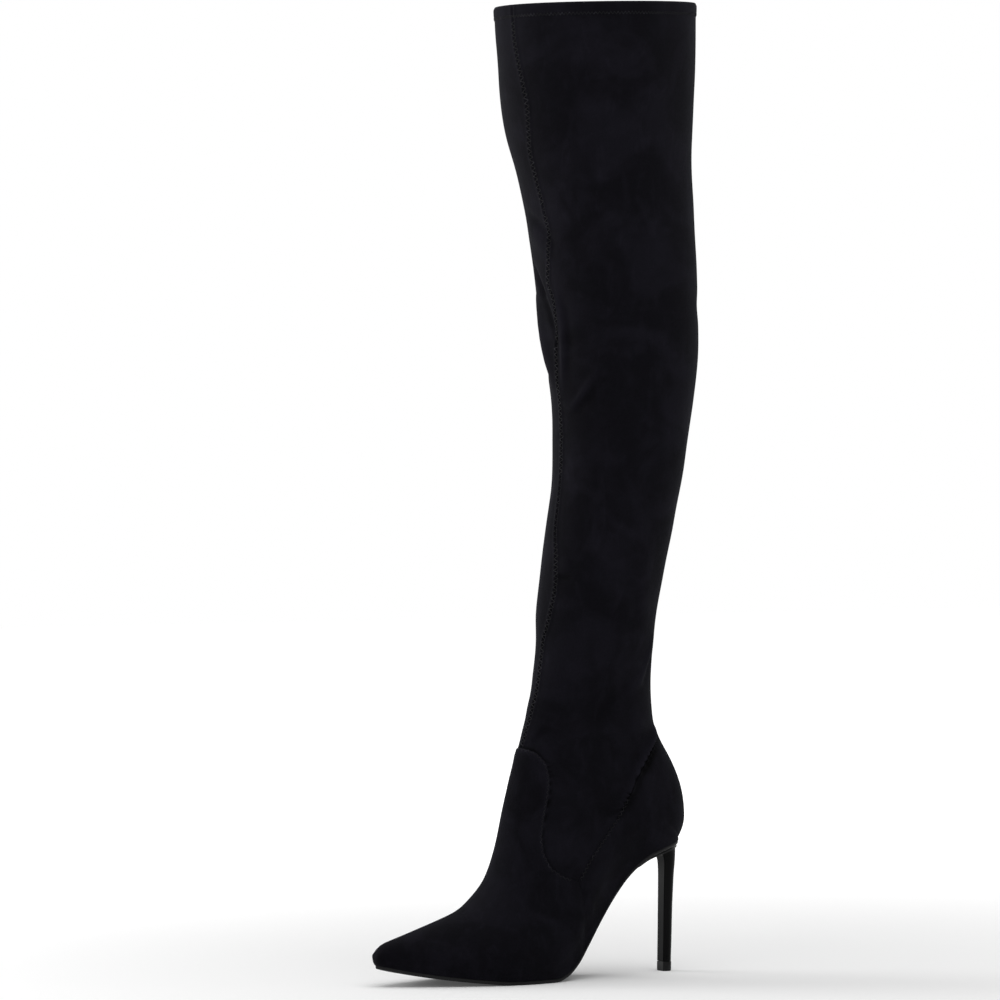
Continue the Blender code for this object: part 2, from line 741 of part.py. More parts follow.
def seam_prism(seam, far_x, closing=()):
    """A block across the boot, bounded by a seam, the feather line to far_x and closing corners."""
    rise = HEEL_HEIGHT + INSTEP_RISE
    outline = [(row["forward"] * LAST_LENGTH, row["rise"] * rise) for row in table_rows(seam)]
    low_x = outline[-1][0]
    lowest = []
    for i in range(FEATHER_STEPS + 1):
        x = low_x + (far_x - low_x) * i / FEATHER_STEPS
        lowest.append((x, feather_height(x) + SEAM_GAP / 3))
    outline = outline[:-1] + lowest + list(closing)
    half = BALL_WIDTH
    body = Surface()
    outer = [body.point((x, half, z)) for x, z in outline]
    inner = [body.point((x, -half, z)) for x, z in outline]
    body.face(outer)
    body.face(inner[::-1])
    body.strip(outer + outer[:1], inner + inner[:1])
    return np.array(body.points), body.faces


def make_material(name, colour, roughness):
    material = bpy.data.materials.new(name)
    material.use_nodes = True
    shader = material.node_tree.nodes["Principled BSDF"]
    shader.inputs["Base Color"].default_value = (*colour, 1.0)
    shader.inputs["Roughness"].default_value = roughness
    shader.inputs["Metallic"].default_value = 0.0
    return material


def make_object(name, solid, collection, material=None):
    """A closed mesh object with all its faces turned outward."""
    points, faces = solid
    mesh = bpy.data.meshes.new(name)
    mesh.from_pydata([tuple(place) for place in points], [], [list(face) for face in faces])
    shape = bmesh.new()
    shape.from_mesh(mesh)
    loose = [vertex for vertex in shape.verts if not vertex.link_faces]
    bmesh.ops.delete(shape, geom=loose, context="VERTS")
    bmesh.ops.triangulate(shape, faces=shape.faces[:])
    bmesh.ops.recalc_face_normals(shape, faces=shape.faces[:])
    shape.to_mesh(mesh)
    shape.free()
    if material is not None:
        mesh.materials.append(material)
    found = bpy.data.objects.new(name, mesh)
    collection.objects.link(found)
    return found


def cut_to(found, prism, cutters):
    """Keeps what lies inside the prism."""
    cutter = make_object(found.name + "_cutter", prism, cutters)
    cutter.hide_render = True
    cutter.display_type = "WIRE"
    keep = found.modifiers.new("seam", "BOOLEAN")
    keep.operation = "INTERSECT"
    keep.solver = "EXACT"
    keep.object = cutter


def foot_stations(last):
    """The sections of the foot, with one more between each two that lie far apart along the sole."""
    found = [last.knots[0]]
    for here in last.knots[1 : last.seat_row + 1]:
        low, high = last.section(found[-1])["low_x"], last.section(here)["low_x"]
        if low - high > STATION_SPACING:
            found.append((found[-1] + here) / 2)
        found.append(here)
    return found


def hem_rows(last):
    """Where the hem's step starts and ends along the last."""
    near = last.section(1.0)
    far = last.section(0.98)
    rise = 0.5 * (near["low_z"] + near["top_z"] - far["low_z"] - far["top_z"]) / 0.02
    start = 1.0 - HEM_HEIGHT / rise
    return [start, start + HEM_STEP / rise]


def main():
    for old in list(bpy.data.objects):
        bpy.data.objects.remove(old)
    boot = bpy.data.collections.new("thigh_high_boot")
    cutters = bpy.data.collections.new("cutters")
    bpy.context.scene.collection.children.link(boot)
    bpy.context.scene.collection.children.link(cutters)
    cutters.hide_render = True

    suede = make_material("suede", (0.012, 0.012, 0.015), 0.9)
    overlay_suede = make_material("overlay_suede", (0.012, 0.012, 0.015), 0.9)
    sock = make_material("insole_sock", (0.02, 0.02, 0.02), 0.7)
    sole = make_material("outsole_resin", (0.035, 0.035, 0.037), 0.5)
    gloss = make_material("heel_gloss", (0.012, 0.012, 0.013), 0.2)
    rubber = make_material("top_piece_rubber", (0.03, 0.03, 0.03), 0.6)

    last = Last()
    hem = hem_rows(last)
    foot = foot_stations(last)
    leg = [along for along in last.knots if last.seat_rear < along < hem[0] - ROW_CLEARANCE]
    rows = foot + leg + hem + [1.0]
    lift = [HEM_STEP if along >= hem[1] else 0.0 for along in rows]
    skin, lines = last_skin(last, rows, margin=True, closed_rows=TOE_SOLID_ROW, lift=lift)
    toe_points = {corner for line in lines[:TOE_SOLID_ROW] for corner in line}
    hollow_faces = [face for face in skin.faces if not toe_points.intersection(face)]
    make_object("upper", thickened(skin, -UPPER_WALL, 0.0, hollow_faces), boot, suede)

    make_object("outsole", outsole_solid(last, foot), boot, sole)
    make_object("insole", insole_solid(last, foot[TOE_SOLID_ROW + 2 :]), boot, sock)
    make_object("heel", heel_solid(), boot, gloss)
    make_object("top_piece", top_piece_solid(), boot, rubber)

    top = (HEEL_HEIGHT + INSTEP_RISE) * 1.1
    toe = 1.05 * LAST_LENGTH
    rear = -0.1 * LAST_LENGTH
    inner, outer = SEAM_GAP, SEAM_GAP + OVERLAY_WALL
    vamp_skin, _ = last_skin(last, [a for a in rows if a <= last.knots[VAMP_ROWS]])
    vamp = make_object("vamp", thickened(vamp_skin, inner, outer), boot, overlay_suede)
    cut_to(vamp, seam_prism(VAMP_SEAM, toe, ((toe, top),)), cutters)
    counter_rows = [a for a in rows if last.knots[COUNTER_ROWS[0]] <= a <= last.knots[COUNTER_ROWS[1]]]
    counter_skin, _ = last_skin(last, counter_rows)
    counter = make_object("counter", thickened(counter_skin, inner, outer), boot, overlay_suede)
    cut_to(counter, seam_prism(COUNTER_SEAM, rear), cutters)


if __name__ == "__main__":
    main()
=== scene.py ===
"""Looks of a left thigh high boot in black stretch suede on a gloss stiletto heel, standing empty.

Metres. +X points to the toe, +Y to the outer side of the foot and +Z up. The origin is on the floor, at
the middle of the heel's tip.
"""
import math

import bpy
import numpy as np
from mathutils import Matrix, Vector
from mathutils.bvhtree import BVHTree
from mathutils.noise import noise


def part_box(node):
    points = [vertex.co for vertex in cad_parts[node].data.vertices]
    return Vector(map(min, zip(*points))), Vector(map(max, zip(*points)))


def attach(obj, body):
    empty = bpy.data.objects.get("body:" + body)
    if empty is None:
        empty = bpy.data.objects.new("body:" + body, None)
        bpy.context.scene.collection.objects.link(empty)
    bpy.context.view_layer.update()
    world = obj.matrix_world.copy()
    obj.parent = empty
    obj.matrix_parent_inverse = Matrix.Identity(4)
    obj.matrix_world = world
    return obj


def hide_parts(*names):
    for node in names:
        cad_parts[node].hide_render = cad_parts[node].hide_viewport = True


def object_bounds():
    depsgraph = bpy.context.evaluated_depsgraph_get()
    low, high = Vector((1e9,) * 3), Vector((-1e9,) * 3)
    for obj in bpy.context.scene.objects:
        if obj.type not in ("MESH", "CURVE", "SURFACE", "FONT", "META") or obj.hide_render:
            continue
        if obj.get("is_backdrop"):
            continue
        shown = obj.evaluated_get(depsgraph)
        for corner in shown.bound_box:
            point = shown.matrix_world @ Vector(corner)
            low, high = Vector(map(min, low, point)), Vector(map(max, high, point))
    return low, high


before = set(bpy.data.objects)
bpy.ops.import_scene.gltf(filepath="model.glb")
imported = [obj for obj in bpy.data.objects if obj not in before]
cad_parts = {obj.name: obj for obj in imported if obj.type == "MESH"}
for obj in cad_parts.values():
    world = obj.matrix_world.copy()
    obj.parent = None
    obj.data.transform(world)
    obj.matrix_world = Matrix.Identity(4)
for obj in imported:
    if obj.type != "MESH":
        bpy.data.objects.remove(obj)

CAD_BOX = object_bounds()

bl_info = {
    "name": "Thigh High Boot",
    "version": (1, 0, 0),
    "blender": (4, 5, 0),
    "location": "View3D > Sidebar > Boot",
    "description": "Makes the suede, seams, stitches, sole and heel of a thigh high boot",
    "category": "Object",
}

# The last
LAST_LENGTH = 0.250
HEEL_HEIGHT = 0.090
TOE_SPRING = 0.0135
INSTEP_RISE = 0.075
BALL_WIDTH = 0.075
SEAT_WIDTH = 0.045
HEEL_CUP_WIDTH = 0.059

# The leg: depths are front to back
ANKLE_DEPTH = 0.0845
ANKLE_WIDTH = 0.067
CALF_DEPTH = 0.1135
CALF_WIDTH = 0.106
COLLAR_DEPTH = 0.144
COLLAR_WIDTH = 0.127
CALF_RISE = 0.307
THIGH_RISE = 0.1895

# The materials
UPPER_WALL = 0.0016
OUTSOLE_THICKNESS = 0.0026
SOLE_LEDGE = 0.0006
INSOLE_THICKNESS = 0.0022
INSOLE_EASE = 0.0011
SEAM_GAP = 0.0003
HEEL_GAP = 0.0004
MARGIN_WIDTH = 0.009

# Up to this row of FOOT_SECTIONS the toe is filled
TOE_SOLID_ROW = 3

# The stiletto
TIP_WIDTH = 0.0100
TOP_PIECE_HEIGHT = 0.0065
TOP_PIECE_LEDGE = 0.00015

# The outsole's edge, from the top down: outward as a share of SOLE_LEDGE, height as a share of
# OUTSOLE_THICKNESS; and the sock's edge: inset, height as a share of INSOLE_THICKNESS
SOLE_EDGE = ((0.4, 1.0), (0.85, 0.93), (1.0, 0.8), (1.0, 0.36), (0.7, 0.16), (0.0, 0.04), (-1.0, 0.0))
SOCK_EDGE = ((0.0007, 1.0), (0.0002, 0.93), (0.0, 0.75), (0.0, 0.0))

# The fine grooves across the forefoot: where they start and end, their pitch, depth, number, the share of
# the pitch that is left as a rib, the plain border, and where sections are laid beside each edge
TREAD_START = 0.098
TREAD_END = 0.168
TREAD_PITCH = 0.0032
TREAD_DEPTH = 0.00032
TREAD_GROOVES = 22
TREAD_RIB = 0.62
TREAD_BORDER = 0.0065
TREAD_EDGES = (-0.00002, 0.00002, 0.00196, 0.0020)

# Faces of the heel that look forward more than this belong to its breast, which gets a glossier copy of the
# heel's coat as a painted highlight
BREAST_FACING = 0.8

# How finely the skin is divided, how many of its columns beside the feather edge are held in place, and up
# to which row of FOOT_SECTIONS nothing is raised
SKIN_STEP = 0.00185
HALF_COLUMNS = 70
EDGE_CROWDING = 0.7
BEZIER_STEPS = 32
HELD_COLUMNS = 14.0
TIP_FLAT_ROW = 2

# The overlays' grids, how many places are taken along a stitched seam, and the least number of points of a
# line that counts as a seam and of one that is stitched
VAMP_COLUMNS = 260
COUNTER_ROWS = 190
COUNTER_COLUMNS = 30
SEAM_PLACES = 300
SHORTEST_SEAM = 40
SHORTEST_STITCHED = 60

# The relief of the leg seams: the lips beside them as a share of their depth, and the lips' place and width
SEAM_LIP = 0.55
SEAM_LIP_AT = 0.0017
SEAM_LIP_WIDTH = 0.0012
SEAM_WIDTH = 0.0007

# The folded hem: how far it stands out, down to where, how deep its stitches are drawn in, how far and how
# far down its edge is rounded, the height of its crown, and how much thicker it is on the inside
HEM_STANDS = 0.0006
HEM_DOWN_TO = 0.0094
HEM_DRAWN = 0.00055
HEM_ROUNDED = 0.0009
HEM_ROUNDED_TO = 0.0012
HEM_CROWN = 0.00042
HEM_INSIDE = 0.0005

# The shaft's swell over the counter's edge: from which height up, how far from the edge, and how wide
PUFF_FROM = 0.068
PUFF_AT = 0.0024
PUFF_WIDTH = 0.0028

# The overlays' edge: over what width the wall thins and is rounded, and under which height and within what
# distance of the edge it thins out to meet the sole
EDGE_THINS = 0.0045
EDGE_ROUNDED = 0.0005
SOLE_MEETS = 0.052
SOLE_MEETS_OVER = 0.018
SOLE_MEETS_WITHIN = 0.008

# The walking line: forward as a share of LAST_LENGTH, lift as a share of HEEL_HEIGHT, spring as a share
# of TOE_SPRING
WALKING_LINE = (
    ("forward", "lift", "spring"),
    (-0.036, 1.000, 0.00), (0.000, 0.977, 0.00), (0.050, 0.940, 0.00), (0.0975, 0.893, 0.00),
    (0.1265, 0.845, 0.00), (0.164, 0.760, 0.00), (0.214, 0.600, 0.00), (0.2585, 0.432, 0.00),
    (0.306, 0.246, 0.00), (0.3445, 0.112, 0.00), (0.386, 0.030, 0.00), (0.430, 0.000, 0.00),
    (0.500, 0.000, 0.00), (0.570, 0.000, 0.00), (0.650, 0.000, 0.12), (0.740, 0.000, 0.32),
    (0.840, 0.000, 0.62), (0.930, 0.000, 1.00),
)

# Sections from the toe tip to the waist. Each lies in a plane that holds its low point on the feather
# line, its top point on the ridge and the direction across. Forward is a share of LAST_LENGTH, rise is
# the top's height over the low point as a share of INSTEP_RISE, edges and widths are half widths as
# shares of BALL_WIDTH, wide_at is how far up the section is widest, and full is how round each end is
FOOT_SECTIONS = (
    (
        "low", "top", "rise", "edge_out", "edge_in", "wide_out",
        "wide_in", "wide_at", "low_full", "top_full", "ridge",
    ),
    (0.912, 0.912, 0.000, 0.000, 0.000, 0.000, 0.000, 0.30, 0.55, 0.55, 0.000),
    (0.906, 0.915, 0.043, 0.036, 0.036, 0.042, 0.042, 0.35, 0.55, 0.60, -0.004),
    (0.892, 0.913, 0.112, 0.072, 0.074, 0.082, 0.084, 0.35, 0.55, 0.60, -0.010),
    (0.868, 0.896, 0.191, 0.114, 0.124, 0.127, 0.137, 0.33, 0.55, 0.58, -0.016),
    (0.830, 0.858, 0.266, 0.176, 0.192, 0.191, 0.207, 0.30, 0.55, 0.57, -0.022),
    (0.782, 0.805, 0.344, 0.252, 0.270, 0.270, 0.287, 0.28, 0.55, 0.56, -0.028),
    (0.724, 0.742, 0.436, 0.334, 0.350, 0.354, 0.370, 0.26, 0.55, 0.54, -0.032),
    (0.656, 0.678, 0.532, 0.418, 0.426, 0.442, 0.448, 0.25, 0.55, 0.52, -0.034),
    (0.590, 0.627, 0.632, 0.480, 0.474, 0.507, 0.500, 0.24, 0.55, 0.50, -0.030),
    (0.516, 0.585, 0.763, 0.502, 0.480, 0.533, 0.512, 0.23, 0.55, 0.49, -0.026),
    (0.440, 0.553, 0.919, 0.468, 0.436, 0.513, 0.486, 0.23, 0.55, 0.48, -0.022),
    (0.380, 0.532, 1.077, 0.404, 0.372, 0.473, 0.450, 0.24, 0.55, 0.48, -0.018),
    (0.320, 0.519, 1.082, 0.346, 0.318, 0.438, 0.420, 0.27, 0.55, 0.49, -0.014),
    (0.260, 0.508, 0.992, 0.304, 0.284, 0.418, 0.404, 0.31, 0.56, 0.50, -0.010),
    (0.190, 0.497, 0.843, 0.288, 0.282, 0.408, 0.398, 0.36, 0.58, 0.51, -0.006),
    (0.120, 0.486, 0.777, 0.298, 0.298, 0.405, 0.398, 0.40, 0.60, 0.52, -0.003),
)

# Sections round the seat, by the turn of its U in degrees. Widths are half widths as shares of
# HEEL_CUP_WIDTH
SEAT_SECTIONS = (
    ("turn", "top", "rise", "wide", "wide_at", "low_full", "top_full"),
    (90.0, 0.475, 0.820, 0.508, 0.43, 0.62, 0.52),
    (62.0, 0.465, 0.878, 0.510, 0.45, 0.64, 0.53),
    (32.0, 0.457, 0.930, 0.512, 0.46, 0.65, 0.53),
    (0.0, 0.450, 0.996, 0.514, 0.47, 0.66, 0.54),
)

# Sections up the back of the heel: back is forward as a share of LAST_LENGTH, both rises are over the
# seat's rear edge as shares of INSTEP_RISE
HEEL_SECTIONS = (
    ("back", "back_rise", "top", "rise", "wide", "wide_at", "low_full", "top_full"),
    (-0.041, 0.095, 0.444, 1.060, 0.516, 0.48, 0.66, 0.54),
    (-0.045, 0.215, 0.436, 1.135, 0.520, 0.49, 0.65, 0.55),
    (-0.039, 0.375, 0.429, 1.222, 0.526, 0.49, 0.64, 0.55),
    (-0.022, 0.555, 0.420, 1.315, 0.532, 0.50, 0.62, 0.55),
    (0.007, 0.735, 0.412, 1.420, 0.538, 0.50, 0.60, 0.55),
    (0.041, 0.920, 0.406, 1.545, 0.545, 0.50, 0.58, 0.55),
    (0.057, 1.135, 0.399, 1.698, 0.550, 0.50, 0.57, 0.55),
    (0.063, 1.388, 0.395, 1.870, 0.555, 0.50, 0.56, 0.55),
)

# Sections up the leg: height from the ankle to the calf, then from the calf to the collar, middle is
# forward as a share of LAST_LENGTH, grow is from the lower named size to the upper one, slope is the
# fall of the plane to the back, and lean is to the outer side as a share of CALF_WIDTH
CALF_SECTIONS = (
    ("height", "middle", "deep_grow", "wide_grow", "slope", "lean", "low_full", "top_full"),
    (0.222, 0.226, -0.043, 0.07, 0.25, 0.000, 0.56, 0.56),
    (0.326, 0.208, 0.031, 0.20, 0.10, 0.002, 0.56, 0.56),
    (0.430, 0.184, 0.104, 0.30, 0.03, 0.006, 0.56, 0.56),
    (0.535, 0.159, 0.176, 0.38, 0.00, 0.010, 0.56, 0.56),
    (0.639, 0.145, 0.317, 0.50, 0.00, 0.013, 0.56, 0.56),
    (0.743, 0.138, 0.545, 0.66, 0.00, 0.014, 0.56, 0.56),
    (0.847, 0.142, 0.804, 0.86, 0.00, 0.012, 0.56, 0.56),
    (0.951, 0.151, 0.972, 0.98, 0.00, 0.008, 0.56, 0.56),
)
THIGH_SECTIONS = (
    ("height", "middle", "deep_grow", "wide_grow", "slope", "lean", "low_full", "top_full"),
    (0.078, 0.160, 0.067, 0.03, 0.00, 0.004, 0.56, 0.56),
    (0.238, 0.174, 0.130, 0.14, 0.00, 0.000, 0.55, 0.56),
    (0.396, 0.191, 0.313, 0.34, -0.01, -0.004, 0.54, 0.56),
    (0.565, 0.207, 0.644, 0.66, -0.025, -0.006, 0.53, 0.56),
    (0.738, 0.212, 0.842, 0.86, -0.031, -0.006, 0.52, 0.56),
    (0.875, 0.216, 0.930, 0.95, -0.035, -0.006, 0.51, 0.56),
    (1.000, 0.218, 0.995, 1.00, -0.036, -0.006, 0.50, 0.56),
)


# The heel, up from the top piece: height as a share of the rise to the outsole, middle forward as a share
# of LAST_LENGTH, flare from TIP_WIDTH to SEAT_WIDTH, the rest as shares of the half width
HEEL_SHAPE = (
    ("height", "middle", "flare", "back", "front", "corner"),
    (0.000, 0.0000, 0.000, 1.05, 0.54, 0.84),
    (0.200, -0.0010, 0.000, 1.12, 0.54, 0.84),
    (0.450, -0.0020, 0.002, 1.18, 0.54, 0.84),
    (0.690, -0.0036, 0.015, 1.25, 0.54, 0.84),
    (0.840, -0.0050, 0.048, 1.25, 0.56, 0.85),
    (0.900, -0.0036, 0.072, 1.26, 0.62, 0.86),
    (0.935, 0.0000, 0.115, 1.25, 0.72, 0.88),
    (0.955, 0.0080, 0.205, 1.18, 0.80, 0.91),
    (0.967, 0.0230, 0.385, 1.11, 0.85, 0.94),
    (0.974, 0.0410, 0.660, 1.05, 0.87, 0.96),
    (0.980, 0.0580, 0.930, 1.01, 0.88, 0.97),
    (1.000, 0.0640, 0.985, 1.00, 0.88, 0.97),
)

# The seams of the two overlays as they cross the side: forward as a share of LAST_LENGTH, rise over the
# floor as a share of HEEL_HEIGHT plus INSTEP_RISE
VAMP_SEAM = (
    ("forward", "rise"),
    (0.530, 0.975), (0.468, 0.956), (0.441, 0.934), (0.421, 0.890), (0.416, 0.830), (0.423, 0.760),
    (0.438, 0.670), (0.448, 0.590), (0.447, 0.525), (0.431, 0.465), (0.398, 0.430), (0.356, 0.409),
    (0.340, 0.340), (0.326, 0.200), (0.315, 0.060),
)
COUNTER_SEAM = (
    ("forward", "rise"),
    (-0.060, 1.100), (0.036, 1.060), (0.081, 1.000), (0.120, 0.930), (0.154, 0.855), (0.185, 0.765),
    (0.223, 0.670), (0.275, 0.575), (0.319, 0.490), (0.3543, 0.407), (0.3380, 0.340), (0.3240, 0.200),
    (0.3130, 0.060),
)
SEAMS = {"vamp": VAMP_SEAM, "counter": COUNTER_SEAM}

# Soft folds (rise over nothing) and creases (rise under nothing) as paths over the last: along it from the
# toe to the collar, and round it from the front (0) to the back (1), less than nothing on the inner side
FOLDS = (
    ("rise", "width", "path"),
    # The fold over the knee and the swell under it
    (-1.5, 0.0030, ((0.826, -0.14), (0.806, 0.010), (0.798, 0.055), (0.783, 0.090))),
    (1.1, 0.0065, ((0.806, -0.10), (0.790, 0.000), (0.778, 0.040))),
    (0.8, 0.0050, ((0.818, 0.025), (0.818, 0.125), (0.806, 0.190))),
    # The pouch at the front of the knee: its notch, the swell under it and the edge of the fold beside it
    (-3.4, 0.0028, ((0.776, -0.16), (0.761, -0.088), (0.742, -0.025))),
    (-1.5, 0.0026, ((0.764, -0.090), (0.745, -0.030), (0.730, 0.004), (0.712, 0.030), (0.694, 0.030))),
    (3.3, 0.0075, ((0.748, -0.135), (0.731, -0.100), (0.712, -0.085), (0.688, -0.065), (0.660, -0.045))),
    (1.5, 0.0032, (
        (0.752, 0.058), (0.731, 0.072), (0.716, 0.076), (0.700, 0.066), (0.679, 0.044), (0.654, 0.018),
    )),
    (-0.9, 0.0040, ((0.748, 0.088), (0.724, 0.104), (0.700, 0.096), (0.676, 0.072))),
    # The slanting crease under the knee
    (1.7, 0.0022, ((0.686, 0.250), (0.669, 0.185), (0.654, 0.126), (0.647, 0.084), (0.651, 0.000))),
    (-0.7, 0.0028, ((0.676, 0.255), (0.659, 0.190), (0.645, 0.125), (0.638, 0.060))),
    (-0.8, 0.0020, ((0.621, -0.040), (0.621, 0.080))),
    (-0.6, 0.0020, ((0.598, 0.000), (0.599, 0.060))),
    # The calf
    (-1.1, 0.0018, ((0.492, 0.080), (0.492, 0.180))),
    (0.8, 0.0045, ((0.503, 0.085), (0.506, 0.160))),
    (1.1, 0.0085, ((0.542, 0.555), (0.510, 0.585), (0.480, 0.620), (0.452, 0.660))),
    (-0.8, 0.0035, ((0.490, 0.545), (0.471, 0.570), (0.455, 0.620))),
    # The back of the ankle, and the hollow beside it
    (1.7, 0.0028, ((0.458, 0.810), (0.442, 0.765), (0.428, 0.731), (0.414, 0.655), (0.398, 0.570))),
    (-1.4, 0.0040, ((0.446, 0.840), (0.432, 0.775), (0.416, 0.700))),
    (-1.6, 0.0075, ((0.426, 0.640), (0.408, 0.560), (0.386, 0.450), (0.347, 0.311))),
    (1.1, 0.0050, ((0.356, 0.490), (0.372, 0.597), (0.384, 0.700))),
    (0.9, 0.0034, ((0.343, 0.350), (0.355, 0.420), (0.350, 0.479), (0.335, 0.430))),
    (-0.9, 0.0024, ((0.302, 0.070), (0.315, 0.084), (0.325, 0.118))),
    (-0.9, 0.0030, ((0.282, 0.520), (0.276, 0.560), (0.286, 0.640))),
    (0.5, 0.0040, ((0.172, 0.660), (0.196, 0.900))),
    # The inner side
    (-1.3, 0.0060, ((0.802, -0.420), (0.790, -0.600), (0.796, -0.800))),
    (1.0, 0.0080, ((0.786, -0.400), (0.772, -0.600), (0.776, -0.760))),
    (-1.0, 0.0050, ((0.696, -0.250), (0.680, -0.160), (0.672, -0.060))),
    (-1.5, 0.0070, ((0.425, -0.760), (0.398, -0.610), (0.368, -0.450))),
    (1.2, 0.0045, ((0.446, -0.820), (0.424, -0.690), (0.404, -0.560))),
    (0.9, 0.0060, ((0.366, -0.480), (0.380, -0.660), (0.392, -0.780))),
    # The back, above the counter and behind the knee
    (-1.0, 0.0050, ((0.410, 0.900), (0.404, 0.990))),
    (-1.0, 0.0050, ((0.404, -0.990), (0.412, -0.880))),
    (-1.0, 0.0080, ((0.738, 0.780), (0.730, 0.960))),
    (-0.9, 0.0080, ((0.731, -0.960), (0.740, -0.760))),
)

# How the folds show: the power of their fade towards the ends, how strongly they are shaded with a painted
# highlight on the folds and painted shade in the creases, the widths over which this painted shade gets
# fainter and beyond which it gets no wider, and how far the nap's shade may go under its dark colour (0) and
# over its light one (1)
FOLD_FADE = 0.7
FOLD_PAINTED_LIGHT = 0.7
CRISP_WIDTH = 0.0032
WIDEST_PAINTED_SHADE = 0.0045
NAP_RANGE = (-0.35, 1.8)

# The painted highlight and painted shadow beside the overlays' edges: the side that gets the painted
# highlight (1 off the overlay, -1 on it), the height from which they show and the rise over which they come
# in, the strength, middle and width of the painted highlight, and the strength and width of the painted
# shadow
EDGE_PAINTED_SHADES = (
    ("seam", "light_side", "height", "rise", "light", "light_at", "light_width", "dark", "dark_width"),
    ("counter", 1, 0.105, 0.03, 2.0, 0.0028, 0.0016, -2.4, 0.0045),
    ("vamp", -1, 0.070, 0.02, 0.9, 0.0010, 0.0012, -1.6, 0.0014),
)

# The stitches: between which heights the overlays' thread shows, how far the zigzags reach to each side of
# their line, how much closer or wider than the spacing they are, and how far down the hem hides the seam
STITCHED = {"vamp": (0.069, 1.0), "counter": (0.068, 0.122)}
EDGE_REACH = (0.0017, 0.0006)
HEM_REACH = 0.0011
HEM_CLOSER = 0.75
HEM_DEPTH = 0.0098
FRONT_REACH = 0.0021
FRONT_WIDER = 1.15

# How far the front seam wanders to the outer side, as a share of the half round the leg
FRONT_SEAM = (
    ("along", "share"),
    (0.280, 0.000), (0.317, 0.015), (0.365, 0.020), (0.413, 0.020), (0.434, 0.048), (0.455, 0.070),
    (0.478, 0.085), (0.505, 0.065), (0.546, 0.015), (0.600, 0.002), (0.660, 0.000), (0.696, 0.020),
    (0.713, 0.042), (0.733, 0.048), (0.744, 0.040), (0.754, 0.022), (0.773, 0.040), (0.796, 0.059),
    (0.819, 0.052), (0.841, 0.042), (0.866, 0.044), (0.890, 0.064), (0.910, 0.074), (0.934, 0.062),
    (0.952, 0.050), (0.978, 0.040), (1.000, 0.040),
)

# The camera stands at the photograph's angle, level, with the picture raised by a small shift
CAMERA_PLACE = (2.1053, 3.2849, 0.37985)
CAMERA_LOOK = (-0.51504, -0.85717, 0.0)
CAMERA_SHIFT = -0.080

# The stage: what the lamps aim at, the light from all round, the floor's side, and the lamps by name, place,
# width and height, and watts
STAGE_AIM = (0.05, 0.0, 0.33)
AMBIENT = 0.205
FLOOR_SIZE = 12.0
LAMPS = (
    ("front_side", (1.9, -2.0, 1.0), (1.4, 2.2), 40.0),
    ("back_side", (-2.6, 0.4, 1.0), (1.0, 2.2), 0.5),
    ("camera_side", (1.2, 3.2, 1.8), (2.4, 2.4), 14.0),
    ("overhead", (0.2, 0.4, 3.4), (4.0, 4.0), 105.0),
)

# The rear end of the seat, and the values that make up a section
SEAT_REAR = -0.027 * LAST_LENGTH
FIELDS = (
    "low_x", "low_z", "top_x", "top_z", "edge_out", "edge_in", "turn",
    "wide_out", "wide_in", "wide_at", "low_full", "top_full", "ridge", "lean",
)

# What is shorter than SMALLEST has no length, and points closer than WELD are one
SMALLEST = 1e-9
WELD = 1e-6


# The last's form


def table_rows(table):
    return [dict(zip(table[0], row)) for row in table[1:]]


class Spline:
    """A natural cubic spline through rows of values."""

    def __init__(self, knots, values):
        self.knots = np.asarray(knots, float)
        self.values = np.asarray(values, float)
        count = len(self.knots)
        step = np.diff(self.knots)
        rise = np.diff(self.values, axis=0) / step[:, None]
        matrix = np.eye(count)
        right = np.zeros_like(self.values)
        for i in range(1, count - 1):
            matrix[i, i - 1 : i + 2] = step[i - 1], 2 * (step[i - 1] + step[i]), step[i]
            right[i] = 6 * (rise[i] - rise[i - 1])
        self.bend = np.linalg.solve(matrix, right)

    def __call__(self, at):
        i = int(np.clip(np.searchsorted(self.knots, at) - 1, 0, len(self.knots) - 2))
        step = self.knots[i + 1] - self.knots[i]
        a = (self.knots[i + 1] - at) / step
        b = 1 - a
        bowed = (a**3 - a) * self.bend[i] + (b**3 - b) * self.bend[i + 1]
        return a * self.values[i] + b * self.values[i + 1] + bowed * step**2 / 6


class EasedLine:
    """A line through points that never overshoots them."""

    def __init__(self, places, values):
        self.places = np.asarray(places, float)
        self.values = np.asarray(values, float)
        chord = np.diff(self.values) / np.diff(self.places)
        self.slope = np.concatenate([[chord[0]], np.zeros(len(chord) - 1), [chord[-1]]])
        for i in range(1, len(chord)):
            if chord[i - 1] * chord[i] > 0:
                self.slope[i] = 2 * chord[i - 1] * chord[i] / (chord[i - 1] + chord[i])

    def __call__(self, place):
        x = min(max(place, self.places[0]), self.places[-1])
        i = int(np.clip(np.searchsorted(self.places, x) - 1, 0, len(self.places) - 2))
        step = self.places[i + 1] - self.places[i]
        t = (x - self.places[i]) / step
        bent = (2 * t**3 - 3 * t**2 + 1) * self.values[i] + (3 * t**2 - 2 * t**3) * self.values[i + 1]
        leant = (t**3 - 2 * t**2 + t) * self.slope[i] + (t**3 - t**2) * self.slope[i + 1]
        return float(bent + step * leant)


def table_columns(table):
    return dict(zip(table[0], zip(*table[1:])))


def walking_line():
    rows = table_rows(WALKING_LINE)
    return EasedLine(
        [row["forward"] * LAST_LENGTH for row in rows],
        [row["lift"] * HEEL_HEIGHT + row["spring"] * TOE_SPRING for row in rows],
    )


WALKING_HEIGHT = walking_line()


def feather_height(forward):
    """The height of the upper's lower edge: it stands on the outsole."""
    return WALKING_HEIGHT(forward) + OUTSOLE_THICKNESS + SEAM_GAP


